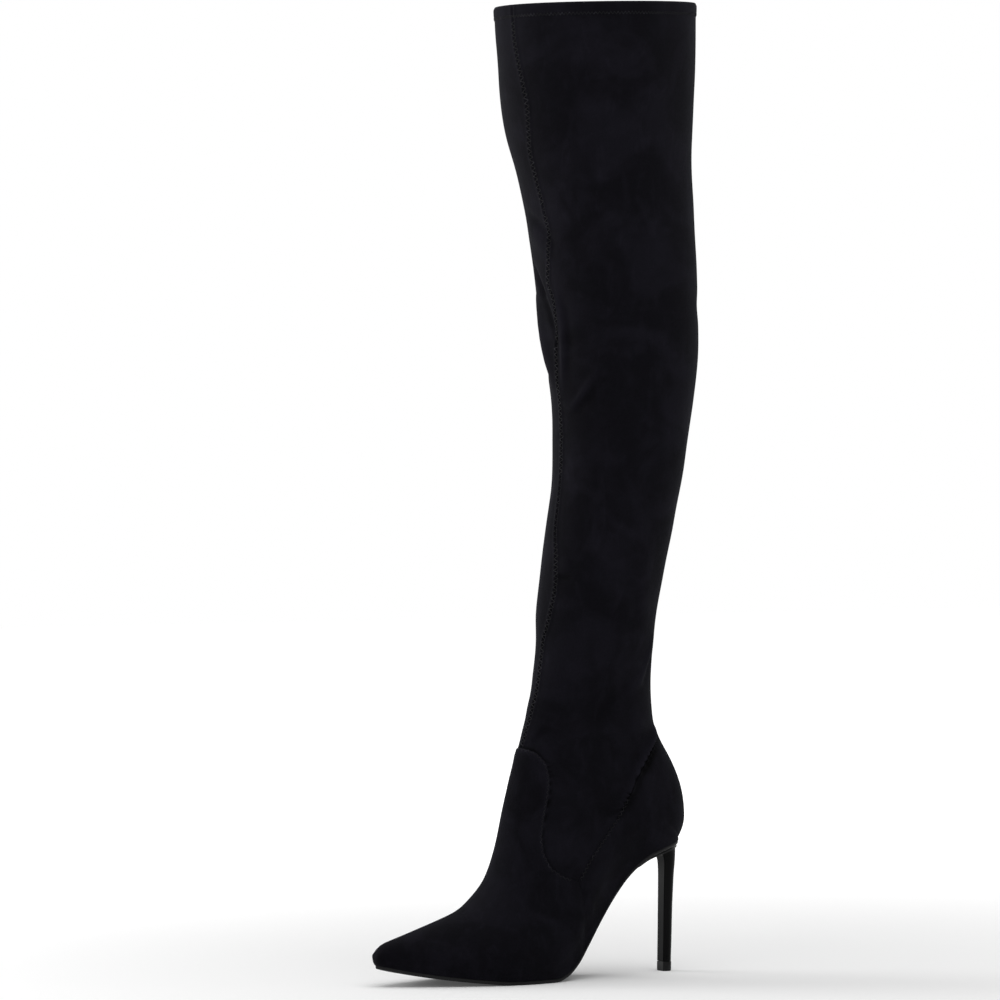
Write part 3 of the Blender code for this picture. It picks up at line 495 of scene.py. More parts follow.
def section_row(row, low, top, edges, widths, turn=0.0, ridge=0.0, lean=0.0):
    """A section's values in the order of FIELDS, from its low and top places and its half widths."""
    shape = (row.get("wide_at", 0.5), row["low_full"], row["top_full"])
    return (*low, *top, *edges, turn, *widths, *shape, ridge, lean)


def foot_rows():
    for row in table_rows(FOOT_SECTIONS):
        low_x = row["low"] * LAST_LENGTH
        low_z = feather_height(low_x)
        top = (row["top"] * LAST_LENGTH, low_z + row["rise"] * INSTEP_RISE)
        edges = (row["edge_out"] * BALL_WIDTH, row["edge_in"] * BALL_WIDTH)
        widths = (row["wide_out"] * BALL_WIDTH, row["wide_in"] * BALL_WIDTH)
        ridge = row["ridge"] * BALL_WIDTH
        yield section_row(row, (low_x, low_z), top, edges, widths, math.radians(90), ridge)


def seat_rows():
    radius = SEAT_WIDTH / 2
    for row in table_rows(SEAT_SECTIONS):
        turn = math.radians(row["turn"])
        low_x = SEAT_REAR + radius * (1 - math.cos(turn))
        low_z = feather_height(low_x)
        top = (row["top"] * LAST_LENGTH, low_z + row["rise"] * INSTEP_RISE)
        edge, wide = radius * math.sin(turn), row["wide"] * HEEL_CUP_WIDTH
        yield section_row(row, (low_x, low_z), top, (edge, edge), (wide, wide), turn)


def heel_rows():
    rear_z = feather_height(SEAT_REAR)
    for row in table_rows(HEEL_SECTIONS):
        low = (row["back"] * LAST_LENGTH, rear_z + row["back_rise"] * INSTEP_RISE)
        top = (row["top"] * LAST_LENGTH, rear_z + row["rise"] * INSTEP_RISE)
        wide = row["wide"] * HEEL_CUP_WIDTH
        yield section_row(row, low, top, (0.0, 0.0), (wide, wide))


def leg_rows():
    ankle_z = feather_height(SEAT_REAR) + INSTEP_RISE
    calf = (ANKLE_DEPTH, CALF_DEPTH, ANKLE_WIDTH, CALF_WIDTH)
    thigh = (CALF_DEPTH, COLLAR_DEPTH, CALF_WIDTH, COLLAR_WIDTH)
    stretches = (
        (CALF_SECTIONS, ankle_z, CALF_RISE, calf),
        (THIGH_SECTIONS, ankle_z + CALF_RISE, THIGH_RISE, thigh),
    )
    for table, base, rise, (low_depth, high_depth, low_width, high_width) in stretches:
        for row in table_rows(table):
            deep = (low_depth + row["deep_grow"] * (high_depth - low_depth)) / 2
            wide = (low_width + row["wide_grow"] * (high_width - low_width)) / 2
            x, z = row["middle"] * LAST_LENGTH, base + row["height"] * rise
            low, top = (x - deep, z - row["slope"] * deep), (x + deep, z + row["slope"] * deep)
            yield section_row(row, low, top, (0.0, 0.0), (wide, wide), lean=row["lean"] * CALF_WIDTH)


class Last:
    """The boot's outer form, as sections that run smoothly from the toe tip (0) to the collar (1)."""

    def __init__(self):
        foot = list(foot_rows()) + list(seat_rows())
        values = np.array(foot + list(heel_rows()) + list(leg_rows()))
        apart = np.hypot(np.diff(values[:, 0]), np.diff(values[:, 1]))
        apart += np.hypot(np.diff(values[:, 2]), np.diff(values[:, 3]))
        knots = np.concatenate([[0], np.cumsum(apart)])
        self.knots = knots / knots[-1]
        seat = len(foot) - 1
        self.seat_rear = self.knots[seat]
        self.whole = Spline(self.knots, values)
        self.foot = Spline(self.knots[: seat + 1], values[: seat + 1])
        self.leg = Spline(self.knots[seat:], values[seat:])

    def ends(self, along):
        """The two ends and the two widest places of a section."""
        s = self.section(along)
        at = s["wide_at"]
        x = s["low_x"] + at * (s["top_x"] - s["low_x"])
        z = s["low_z"] + at * (s["top_z"] - s["low_z"])
        return (
            (s["low_x"], s["edge_out"], s["low_z"]), (s["top_x"], 0.0, s["top_z"]),
            (x, s["wide_out"], z), (x, -s["wide_in"], z),
        )

    def section(self, along):
        """The named values of the section at a place along the last."""
        found = dict(zip(FIELDS, self.whole(along)))
        on_foot = along <= self.seat_rear
        part = dict(zip(FIELDS, (self.foot if on_foot else self.leg)(along)))
        for name in ("low_x", "low_z"):
            found[name] = part[name]
        if on_foot:
            found["low_z"] = feather_height(found["low_x"])
        for name in ("edge_out", "edge_in", "turn"):
            found[name] = max(part[name], 0.0) if on_foot else 0.0
        found["turn"] = min(found["turn"], math.radians(90))
        return found

    def half_section(self, along, side, shares):
        """Points of one half of a section, at shares of its length from the ridge (0) to its low end (1)."""
        s = self.section(along)
        low = np.array([s["low_x"], s["low_z"]])
        span = np.array([s["top_x"], s["top_z"]]) - low
        name = "out" if side > 0 else "in"
        edge, wide = s["edge_" + name], s["wide_" + name]
        at, turn = s["wide_at"], s["turn"]
        ridge = s["ridge"] * side
        top_full, low_full = s["top_full"], s["low_full"]
        swell = max(wide - edge, 0.0) * math.sin(turn)
        swept = abs(span[0]) * at * math.cos(turn)
        lean_out = low_full * (wide - edge)
        lean_up = low_full * at * swell / max(swell + swept, SMALLEST)
        lean_in = top_full * (wide - ridge)
        drop = (1 - top_full) * (1 - at)
        upper = ((ridge, 1.0), (ridge + lean_in, 1.0), (wide, 1 - drop), (wide, at))
        lower = ((wide, at), (wide, at * (1 - low_full)), (edge + lean_out, lean_up), (edge, 0.0))
        flat = np.vstack([bezier(upper), bezier(lower)[1:]])
        points = np.empty((len(flat), 3))
        points[:, 0] = low[0] + flat[:, 1] * span[0]
        points[:, 1] = side * flat[:, 0] + s["lean"]
        points[:, 2] = low[1] + flat[:, 1] * span[1]
        return even_points(points, shares)


def bezier(corners):
    t = np.linspace(0, 1, BEZIER_STEPS + 1)[:, None]
    a, b, c, d = (np.array(corner) for corner in corners)
    return (1 - t) ** 3 * a + 3 * (1 - t) ** 2 * t * b + 3 * (1 - t) * t**2 * c + t**3 * d


def run_along(points):
    """How far along a line each of its points lies."""
    return np.concatenate([[0], np.cumsum(np.linalg.norm(np.diff(points, axis=0), axis=1))])


def between(wanted, run, values):
    """Rows of values at places between those of a run."""
    return np.column_stack([np.interp(wanted, run, column) for column in values.T])


def bell(value, middle, width):
    """A soft bump: 1 at the middle, and nearly nothing two widths away from it."""
    return np.exp(-(((value - middle) / width) ** 2))


def even_points(points, shares):
    """Points at these shares of a line's length."""
    run = run_along(points)
    if run[-1] < SMALLEST:
        return np.repeat(points[:1], len(shares), axis=0)
    return between(shares, run / run[-1], points)


# Meshes


def unit(vectors):
    size = np.linalg.norm(vectors, axis=-1, keepdims=True)
    return vectors / np.maximum(size, SMALLEST)


class Body:
    """Points and faces, with the points that lie together joined."""

    def __init__(self):
        self.points = []
        self.faces = []
        self.inner = []
        self.found = {}

    def point(self, place):
        key = tuple(int(round(value / WELD)) for value in place)
        if key not in self.found:
            self.found[key] = len(self.points)
            self.points.append(tuple(float(value) for value in place))
        return self.found[key]

    def line(self, places):
        return [self.point(place) for place in places]

    def face(self, corners, inner=False):
        kept = [c for i, c in enumerate(corners) if c != corners[i - 1]]
        if len(set(kept)) == len(kept) and len(kept) > 2:
            self.faces.append(kept)
            self.inner.append(inner)

    def strip(self, first, second, inner=False):
        for i in range(len(first) - 1):
            self.face([first[i], first[i + 1], second[i + 1], second[i]], inner)

    def grid(self, lines, flip=False, inner=False):
        for first, second in zip(lines, lines[1:]):
            if flip:
                self.strip(second, first, inner)
            else:
                self.strip(first, second, inner)


def sized_groups(points, faces):
    """The faces in groups by their number of corners, with their normals, longer for larger faces."""
    for size in set(len(face) for face in faces):
        group = np.array([face for face in faces if len(face) == size])
        ring = points[group]
        yield group, sum(np.cross(ring[:, i - 1], ring[:, i]) for i in range(size))


def corner_normals(points, faces):
    """A smooth normal at each point, from the faces round it."""
    points = np.asarray(points, float)
    total = np.zeros_like(points)
    for group, normal in sized_groups(points, faces):
        for i in range(group.shape[1]):
            np.add.at(total, group[:, i], normal)
    return unit(total)


def linked(name, data):
    """An object put into the scene."""
    found = bpy.data.objects.new(name, data)
    bpy.context.scene.collection.objects.link(found)
    return found


def mesh_object(name, points, faces, materials, inner=None, sharp=None):
    """A smooth mesh object. Its edges sharper than an angle in degrees stay crisp, if one is given."""
    mesh = bpy.data.meshes.new(name)
    mesh.from_pydata([tuple(p) for p in points], [], [tuple(f) for f in faces])
    for material in materials:
        mesh.materials.append(material)
    if inner is not None:
        mesh.polygons.foreach_set("material_index", np.array(inner, np.int32))
    mesh.polygons.foreach_set("use_smooth", np.full(len(faces), True))
    mesh.update()
    mesh.validate()
    if sharp is not None:
        mesh.set_sharp_from_angle(angle=math.radians(sharp))
    return linked(name, mesh)


def finish_piece(found, slot, *nodes):
    """Puts a piece on the boot's body, and hides the solids it stands for; its finish (slot) is not used."""
    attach(found, "root")
    if nodes:
        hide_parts(*nodes)


# The skin: the boot's outer face as a grid of rows from the toe to the collar


class Skin:
    """The worked outer face. Rows run from the toe tip to the collar; columns run from the outer low end
    over the ridge to the inner low end."""

    def __init__(self, looks):
        self.last = Last()
        self.columns = 2 * HALF_COLUMNS
        t = np.linspace(0, 1, HALF_COLUMNS + 1)
        self.shares = t - EDGE_CROWDING * np.sin(2 * np.pi * t) / (2 * np.pi)
        self.along = self.stations()
        seam = table_columns(FRONT_SEAM)
        self.front_seam = EasedLine(seam["along"], seam["share"])
        self.seat_row = int(np.argmin(np.abs(self.along - self.last.seat_rear)))
        self.base = np.array([self.ring(along) for along in self.along])
        self.places = self.base
        self.normals = self.grid_normals()
        self.seams = {name: contour_lines(seam_distance(self.base, name)) for name in SEAMS}
        relief = self.relief(looks)
        self.places = self.base + relief[..., None] * self.normals
        self.places[..., 2] -= self.collar_dip(looks)
        self.normals = self.grid_normals()

    def stations(self):
        """Places along the last, close enough that no end of a section moves further than a step."""
        fine = np.linspace(0, 1, 3001)
        ends = np.array([self.last.ends(along) for along in fine])
        step = np.linalg.norm(np.diff(ends, axis=0), axis=2).max(axis=1)
        run = np.concatenate([[0], np.cumsum(step)])
        seat = np.interp(self.last.seat_rear, fine, run)
        before = np.linspace(0, seat, int(round(seat / SKIN_STEP)) + 1)
        after = np.linspace(seat, run[-1], int(round((run[-1] - seat) / SKIN_STEP)) + 1)
        return np.interp(np.concatenate([before, after[1:]]), run, fine)

    def ring(self, along):
        """A whole section, with its middle column on the front seam."""
        across = np.concatenate([self.shares[::-1], -self.shares[1:]])
        across = across + self.front_seam(along) * (1 - np.abs(across)) ** 3
        outer = self.last.half_section(along, 1, across[across >= 0])
        inner = self.last.half_section(along, -1, -across[across < 0])
        return np.vstack([outer, inner])

    def grid_normals(self):
        down = np.gradient(self.places, axis=0)
        across = np.gradient(self.places, axis=1)
        normal = unit(np.cross(down, across))
        normal[0] = normal[1]
        closed = slice(self.seat_row, None)
        shared = unit(normal[closed, 0] + normal[closed, -1])
        normal[closed, 0] = shared
        normal[closed, -1] = shared
        outward = np.sum(normal[-1] * (self.places[-1] - self.places[-1].mean(axis=0)), axis=1).mean()
        return normal if outward > 0 else -normal

    def at(self, row, column, source=None):
        """Places on the skin between its rows and columns."""
        grid = self.places if source is None else source
        row = np.clip(np.asarray(row, float), 0, len(grid) - 1)
        column = np.clip(np.asarray(column, float), 0, self.columns)
        r = np.minimum(row.astype(int), len(grid) - 2)
        c = np.minimum(column.astype(int), self.columns - 1)
        total = 0
        for i, weight_r in enumerate(cubic_weights(row - r)):
            line = np.clip(r - 1 + i, 0, len(grid) - 1)
            for j, weight_c in enumerate(cubic_weights(column - c)):
                spot = np.clip(c - 1 + j, 0, self.columns)
                total = total + (weight_r * weight_c)[..., None] * grid[line, spot]
        return total

    def normal_at(self, row, column):
        return unit(self.at(row, column, self.normals))

    def relief(self, looks):
        """How far each point is raised: soft folds and creases, the puffed counter seam, the leg seams and
        the folded hem."""
        flat = self.base.reshape(-1, 3)
        total = np.zeros(len(flat))
        for row, away, fade in self.folds(flat):
            total += looks.fold_depth * row["rise"] * fade * bell(away, 0.0, row["width"])
        total += self.slack(flat) * looks.slack_depth
        total += self.counter_puff(flat, looks)
        total = total.reshape(self.base.shape[:2])
        total += self.leg_seams(looks)
        total += self.hem(looks)
        total += self.under_vamp(flat).reshape(total.shape) * looks.vamp_inset
        columns = np.arange(self.columns + 1)
        edge = np.minimum(columns, self.columns - columns)
        total[: self.seat_row] *= np.clip(edge / HELD_COLUMNS, 0, 1) ** 2
        total[: int(np.searchsorted(self.along, self.last.knots[TIP_FLAT_ROW]))] = 0
        return total

    def folds(self, points):
        """The folds one by one: a row of their table, how far the points are from it, and how it fades
        towards its two ends."""
        for row in table_rows(FOLDS):
            away, run = path_distance(points, self.fold_path(row["path"]))
            yield row, away, np.sin(np.pi * np.clip(run, 0.0, 1.0)) ** FOLD_FADE

    def collar_dip(self, looks):
        """The collar's edge sinks a little on both sides."""
        across = np.abs(self.base[..., 1]) / (COLLAR_WIDTH / 2)
        top = self.base[-1, :, 2].min()
        return looks.collar_dip * across**2 * smooth_step((self.base[..., 2] - top + 0.03) / 0.03)

    def under_vamp(self, flat):
        """The skin gives way under the vamp, so that the two together keep the last's line."""
        return -smooth_step((-seam_distance(flat, "vamp") - 0.001) / 0.012)

    def fold_path(self, path):
        places = []
        for along, share in path:
            side = 1 if share >= 0 else -1
            places.append(self.last.half_section(along, side, [0.0, abs(share)])[1])
        return np.array(places)

    def slack(self, flat):
        """The soft waves of stretch cloth with nothing in it, which die away under the ankle."""
        waves = np.empty(len(flat))
        for i, (x, y, z) in enumerate(flat):
            broad = noise(Vector((x * 19, y * 19, z * 13)))
            waves[i] = broad + 0.5 * noise(Vector((x * 41, y * 41, z * 33 + 7)))
        return waves * np.clip((flat[:, 2] - 0.10) / 0.12, 0.12, 1.0)

    def counter_puff(self, flat, looks):
        """The shaft stands out over the counter's edge."""
        signed = seam_distance(flat, "counter")
        height = np.clip((flat[:, 2] - PUFF_FROM) / 0.05, 0.25, 1.0)
        height *= smooth_step((np.abs(flat[:, 1]) - 0.014) / 0.012)
        rise = np.zeros(len(flat))
        for line in self.seams["counter"]:
            path = self.at(line[:, 0], line[:, 1], self.base)
            near, _ = path_distance(flat, path[path[:, 2] > PUFF_FROM])
            swell = bell(near, PUFF_AT, PUFF_WIDTH) * smooth_step((signed + 0.0005) / 0.0019)
            rise = np.maximum(rise, looks.puff * swell * height)
        return rise

    def leg_seams(self, looks):
        """The front seam down to the vamp and the back seam down to the counter."""
        rise = np.zeros(self.base.shape[:2])
        tongue = self.seam_row("vamp", HALF_COLUMNS)
        back = self.seam_row("counter", 0)
        for column, first in ((HALF_COLUMNS, tongue), (0, back), (self.columns, back)):
            middle = self.base[:, column][:, None]
            near = np.linalg.norm(self.base - middle, axis=2)
            shape = SEAM_LIP * bell(near, SEAM_LIP_AT, SEAM_LIP_WIDTH) - bell(near, 0.0, SEAM_WIDTH)
            shown = (np.arange(len(self.base)) > first) * 1.0
            rise += looks.seam_depth * shape * shown[:, None]
        rise[:, 0] = rise[:, -1] = np.minimum(rise[:, 0], rise[:, -1])
        return rise

    def seam_row(self, name, column):
        """The highest row at which a seam crosses a column."""
        best = 0.0
        for line in self.seams[name]:
            close = np.abs(line[:, 1] - column) < 1.01
            if close.any():
                best = max(best, line[close, 0].max())
        return best

    def hem(self, looks):
        """The collar's edge, folded in and stitched down."""
        top = self.base[-1]
        fall = np.linalg.norm(self.base - top[None], axis=2)
        fold = HEM_STANDS * smooth_step((HEM_DOWN_TO - fall) / 0.0010)
        stitched = -HEM_DRAWN * bell(fall, looks.hem_height, SEAM_WIDTH)
        lip = -HEM_ROUNDED * np.clip(1 - fall / HEM_ROUNDED_TO, 0, 1) ** 2
        return np.where(fall < 0.02, fold + stitched + lip, 0.0)


def painted_fold_shade(points, skin):
    """Painted highlights on the folds (up to about 1) and painted shade in the creases, with a painted
    highlight and a painted shadow beside the overlays' edges, as amounts by which the nap's colour is
    lightened or darkened.
    """
    total = np.zeros(len(points))
    for row, away, fade in skin.folds(points):
        crisp = FOLD_PAINTED_LIGHT * min(1.0, CRISP_WIDTH / row["width"])
        total += crisp * row["rise"] * fade * bell(away, 0.0, min(row["width"], WIDEST_PAINTED_SHADE))
    total = np.clip(total, -0.3, 1.2)
    # A painted highlight on one side of each overlay's edge and a painted shadow on the other
    for row in table_rows(EDGE_PAINTED_SHADES):
        signed = seam_distance(points, row["seam"])
        height = smooth_step((points[:, 2] - row["height"]) / row["rise"])
        for line in skin.seams[row["seam"]]:
            near, _ = path_distance(points, skin.at(line[:, 0], line[:, 1], skin.base))
            light = row["light"] * bell(near, row["light_at"], row["light_width"])
            dark = row["dark"] * bell(near, 0.0, row["dark_width"])
            total += np.where(row["light_side"] * signed > 0, light, dark) * height
    return np.clip(total, -1.0, 2.0)


def give_painted_shade(found, skin):
    """Keeps the painted highlights and painted shade of the folds and the overlays' edges on a piece, for its
    material to read.
    """
    mesh = found.data
    points = np.empty(3 * len(mesh.vertices))
    mesh.vertices.foreach_get("co", points)
    layer = mesh.attributes.new("painted_fold_shade", "FLOAT", "POINT")
    layer.data.foreach_set("value", painted_fold_shade(points.reshape(-1, 3), skin).astype(np.float32))


def smooth_step(value):
    t = np.clip(value, 0, 1)
    return t * t * (3 - 2 * t)


def cubic_weights(t):
    """The four weights of a smooth line through even points."""
    return (
        (-t + 2 * t**2 - t**3) / 2,
        (2 - 5 * t**2 + 3 * t**3) / 2,
        (t + 4 * t**2 - 3 * t**3) / 2,
        (-(t**2) + t**3) / 2,
    )


def path_distance(points, path):
    """How far each point is from a path, and its place along it from 0 to 1."""
    run = run_along(path)
    best = np.full(len(points), 1e3)
    where = np.zeros(len(points))
    for i, length in enumerate(np.linalg.norm(np.diff(path, axis=0), axis=1)):
        if length < SMALLEST:
            continue
        step = (path[i + 1] - path[i]) / length
        held = np.clip((points - path[i]) @ step, 0, length)
        away = np.linalg.norm(points - path[i] - held[:, None] * step, axis=1)
        nearer = away < best
        best[nearer] = away[nearer]
        where[nearer] = (run[i] + held[nearer]) / run[-1]
    return best, where


def seam_points(name):
    rise = HEEL_HEIGHT + INSTEP_RISE
    return np.array([(row["forward"] * LAST_LENGTH, row["rise"] * rise) for row in table_rows(SEAMS[name])])


def seam_outline(name):
    """An overlay's seam and the far corners that close it to a loop round the overlay, from the side."""
    seam = seam_points(name)
    far, high = (1.05 * LAST_LENGTH, 0.2) if name == "vamp" else (-0.03, seam[0, 1])
    return np.vstack([seam, [(seam[-1, 0], -0.1), (far, -0.1), (far, high)]])


def seam_distance(points, name):
    """The distance to an overlay's seam as seen from the side, less than nothing on the overlay."""
    flat = points[..., [0, 2]].reshape(-1, 2)
    outline = seam_outline(name)
    inside = np.zeros(len(flat), bool)
    for a, b in zip(np.roll(outline, 1, axis=0), outline):
        spans = (a[1] > flat[:, 1]) != (b[1] > flat[:, 1])
        rise = b[1] - a[1] if abs(b[1] - a[1]) > SMALLEST else SMALLEST
        cross = a[0] + (flat[:, 1] - a[1]) * (b[0] - a[0]) / rise
        inside ^= spans & (flat[:, 0] < cross)
    away, _ = path_distance(flat, seam_points(name))
    return np.where(inside, -away, away).reshape(points.shape[:-1])


def contour_lines(signed):
    """The lines of (row, column) on which a grid of values is nothing, longest first."""
    spots, links = {}, {}
    rows, columns = signed.shape
    negative = signed < 0

    def spot(a, b):
        key = (a, b)
        if key not in spots:
            va, vb = signed[a], signed[b]
            t = va / (va - vb)
            spots[key] = (a[0] + t * (b[0] - a[0]), a[1] + t * (b[1] - a[1]))
        return key

    mixed = np.zeros((rows - 1, columns - 1), bool)
    for i, j in ((0, 1), (1, 0), (1, 1)):
        mixed |= negative[i : rows - 1 + i, j : columns - 1 + j] != negative[:-1, :-1]
    for r, c in zip(*np.nonzero(mixed)):
        corners = [(r, c), (r, c + 1), (r + 1, c + 1), (r + 1, c)]
        cut = []
        for i in range(4):
            a, b = sorted((corners[i], corners[(i + 1) % 4]))
            if negative[a] != negative[b]:
                cut.append(spot(a, b))
        for i in range(0, len(cut) - 1, 2):
            links.setdefault(cut[i], []).append(cut[i + 1])
            links.setdefault(cut[i + 1], []).append(cut[i])
    lines, used = [], set()
    starts = [key for key, near in links.items() if len(near) == 1]
    for start in sorted(starts) + sorted(links):
        if start in used:
            continue
        line, here = [], start
        while here is not None:
            used.add(here)
            line.append(spots[here])
            here = next((key for key in links[here] if key not in used), None)
        if len(line) > SHORTEST_SEAM:
            line = np.array(line)
            lines.append(line if line[0, 0] < line[-1, 0] else line[::-1])
    return lines


class Sheet(Body):
    """An open sheet on the skin that is given a wall."""

    def __init__(self):
        super().__init__()
        self.outward = []

    def lay(self, skin, rows, columns, flip=False):
        """Lays a grid at these rows and columns of the skin, and gives back its places."""
        places, facings = skin.at(rows, columns), skin.normal_at(rows, columns)
        lines = []
        for line_places, line_facings in zip(places, facings):
            lines.append([])
            for place, facing in zip(line_places, line_facings):
                corner = self.point(place)
                if corner == len(self.outward):
                    self.outward.append(facing)
                lines[-1].append(corner)
        self.grid(lines, flip=flip)
        return places

    def oriented(self):
        """Turns all faces to look the way that the skin faces."""
        normals = corner_normals(self.points, self.faces)
        if np.sum(normals * np.array(self.outward)) < 0:
            self.faces = [face[::-1] for face in self.faces]
            normals = -normals
        return normals

    def walled(self, normals, outer, inner):
        """A closed solid between two shifts of the sheet."""
        points = np.array(self.points)
        count = len(points)
        far = points + outer[:, None] * normals
        near = points + inner[:, None] * normals
        faces = list(self.faces) + [[c + count for c in face[::-1]] for face in self.faces]
        for a, b in open_edges(self.faces):
            faces.append([b, a, a + count, b + count])
        return np.vstack([far, near]), faces


def open_edges(faces):
    """The edges with a face on one side only, as they run in that face."""
    runs = {(face[i - 1], face[i]) for face in faces for i in range(len(face))}
    return [edge for edge in sorted(runs) if (edge[1], edge[0]) not in runs]


def even_shift(points, faces, normals):
    """How much further a corner has to move for its faces to move a given distance."""
    least = np.ones(len(points))
    for group, normal in sized_groups(points, faces):
        for i in range(group.shape[1]):
            np.minimum.at(least, group[:, i], np.sum(unit(normal) * normals[group[:, i]], axis=1))
    return 1 / np.clip(least, 0.68, 1.0)


def upper_body(skin, looks):
    """The upper's outer face with its lasting margin, its inner wall and the rims that join them."""
    last, columns = skin.last, skin.columns
    toe_row = int(np.searchsorted(skin.along, last.knots[TOE_SOLID_ROW]))
    body = Body()
    lines = [body.line(row) for row in skin.places]
    body.grid(lines)
    turned = {1: [], -1: []}
    for row in range(skin.seat_row + 1):
        for side in (1, -1):
            place = margin_end(last, skin.along[row], side, row <= toe_row)
            turned[side].append(body.point(place))
    foot = range(skin.seat_row + 1)
    body.strip([lines[r][0] for r in foot], turned[1])
    body.strip(turned[-1], [lines[r][columns] for r in foot])
    points = np.array(body.points)
    normals = corner_normals(points, body.faces)
    flipped = np.sum(normals[lines[-1]] * skin.normals[-1]) < 0
    if flipped:
        body.faces = [face[::-1] for face in body.faces]
        normals = -normals
    factor = even_shift(points, body.faces, normals)
    inner_rows = sorted(set(list(range(toe_row, len(lines), 2)) + [skin.seat_row, len(lines) - 1]))
    inner_columns = list(range(0, columns + 1, 2))
    shifted = {}

    def inside(corner, extra=0.0):
        if corner not in shifted:
            move = (UPPER_WALL + extra) * factor[corner]
            shifted[corner] = len(body.points)
            body.points.append(tuple(points[corner] - move * normals[corner]))
        return shifted[corner]

    def hem_extra(row, column):
        fall = np.linalg.norm(skin.base[row, column] - skin.base[-1, column])
        return HEM_INSIDE * float(smooth_step((looks.hem_height + 0.0014 - fall) / 0.0010))

    inner_lines = [[inside(lines[r][c], hem_extra(r, c)) for c in inner_columns] for r in inner_rows]
    body.grid(inner_lines, flip=not flipped, inner=True)
    inner_foot = [r for r in inner_rows if r <= skin.seat_row]
    inner_turned = {side: [inside(turned[side][r]) for r in inner_foot] for side in (1, -1)}
    first = [line[0] for line in inner_lines[: len(inner_foot)]]
    final = [line[-1] for line in inner_lines[: len(inner_foot)]]
    for near, far in ((first, inner_turned[1]), (inner_turned[-1], final)):
        body.strip(*((near, far) if flipped else (far, near)), inner=True)
    mouth = [inner_turned[1][0]] + inner_lines[0]
    body.face(mouth if flipped else mouth[::-1], inner=True)
    for side in (1, -1):
        free = turned[side]
        for i in range(len(inner_foot) - 1):
            a, b = inner_foot[i], inner_foot[i + 1]
            rim = free[a : b + 1] + [inner_turned[side][i + 1], inner_turned[side][i]]
            body.face(rim if (side > 0) != flipped else rim[::-1], inner=True)
    collar_rim(body, lines[-1], inner_lines[-1], flipped)
    return body


def collar_rim(body, outer, inner, flipped):
    """The rounded top of the folded hem."""
    middle = []
    for i, corner in enumerate(inner):
        a = np.array(body.points[outer[2 * i]])
        b = np.array(body.points[corner])
        middle.append(body.point((a + b) / 2 + np.array([0, 0, HEM_CROWN])))
    for i in range(len(inner) - 1):
        a, b, c = outer[2 * i : 2 * i + 3]
        rim = [a, b, c, middle[i + 1], middle[i]]
        body.face(rim[::-1] if flipped else rim)
        rim = [middle[i], middle[i + 1], inner[i + 1], inner[i]]
        body.face(rim[::-1] if flipped else rim)


def margin_end(last, along, side, closed):
    """The inner end of the lasting margin on one side of a section of the foot."""
    s = last.section(along)
    edge = s["edge_out"] if side > 0 else s["edge_in"]
    if closed:
        forward, across = 0.0, 0.0
    else:
        forward = MARGIN_WIDTH * math.cos(s["turn"])
        across = max(edge - MARGIN_WIDTH * math.sin(s["turn"]), edge * 0.2)
    x = s["low_x"] + forward
    return x, side * across, feather_height(x)


def seam_samples(skin, line, count):
    """Even places along a seam, as rows and columns of the skin."""
    run = run_along(skin.at(line[:, 0], line[:, 1]))
    return between(np.linspace(0, run[-1], count), run, line)


def overlay_wall(sheet, edge, looks):
    """Gives an overlay its wall, thin and rounded where it is stitched down along its edge."""
    points = np.array(sheet.points)
    normals = sheet.oriented()
    away, _ = path_distance(points, edge)
    soft = looks.overlay_edge + (1 - looks.overlay_edge) * smooth_step(away / EDGE_THINS)
    rounding = np.sqrt(np.clip(1 - (1 - np.clip(away / EDGE_ROUNDED, 0, 1)) ** 2, 0, 1))
    outer = SEAM_GAP + looks.overlay_wall * soft * (0.35 + 0.65 * rounding)
    shown = smooth_step((points[:, 2] - SOLE_MEETS) / SOLE_MEETS_OVER)
    outer = outer * (shown + (1 - shown) * (0.2 + 0.8 * smooth_step(away / SOLE_MEETS_WITHIN)))
    return sheet.walled(normals, outer, np.full(len(points), 0.15 * SEAM_GAP))


def vamp_sheet(skin):
    """The vamp, from the toe tip to the edge of its tongue."""
    line = max(skin.seams["vamp"], key=len)
    if line[0, 1] > line[-1, 1]:
        line = line[::-1]
    seam = seam_samples(skin, line, VAMP_COLUMNS)
    near_edge = [0.95, 0.965, 0.975, 0.983, 0.989, 0.993, 0.9965, 0.999, 1.0]
    reach = np.concatenate([np.linspace(0, 0.93, 56), near_edge])[:, None]
    fan = np.linspace(0, skin.columns, len(seam))
    sheet = Sheet()
    places = sheet.lay(skin, reach * seam[None, :, 0], (1 - reach) * fan[None] + reach * seam[None, :, 1])
    return sheet, places[-1]


def counter_sheet(skin):
    """The counter, from its seam on the outer side round the back to its seam on the inner side."""
    outer, inner = sorted(skin.seams["counter"], key=len)[-2:]
    if outer[:, 1].mean() > inner[:, 1].mean():
        outer, inner = inner, outer
    seam = seam_samples(skin, outer, COUNTER_ROWS)
    seat, top = skin.seat_row, skin.columns
    rows = np.maximum.accumulate(seam[:, 0])
    share = (rows - rows[0]) / (seat - rows[0])
    inner_rows = np.where(rows < seat, inner[0, 0] + share * (seat - inner[0, 0]), rows)
    inner_line = inner[np.argsort(inner[:, 0], kind="stable")]
    inner_seam = np.interp(inner_rows, inner_line[:, 0], inner_line[:, 1])
    outer_seam = seam[:, 1].copy()
    outer_seam[-1], inner_seam[-1] = 0.0, top
    across = np.linspace(0, 1, COUNTER_COLUMNS) ** 1.5
    sheet, edges = Sheet(), []
    for side_rows, side_seam, low in ((rows, outer_seam, 0.0), (inner_rows, inner_seam, top)):
        columns = side_seam[:, None] + across[None] * (low - side_seam[:, None])
        grid_rows = np.repeat(side_rows[:, None], len(across), axis=1)
        edges.append(sheet.lay(skin, grid_rows, columns, flip=low > 0)[:, 0])
    return sheet, np.vstack([edges[0], edges[1][::-1]])


# Stitches


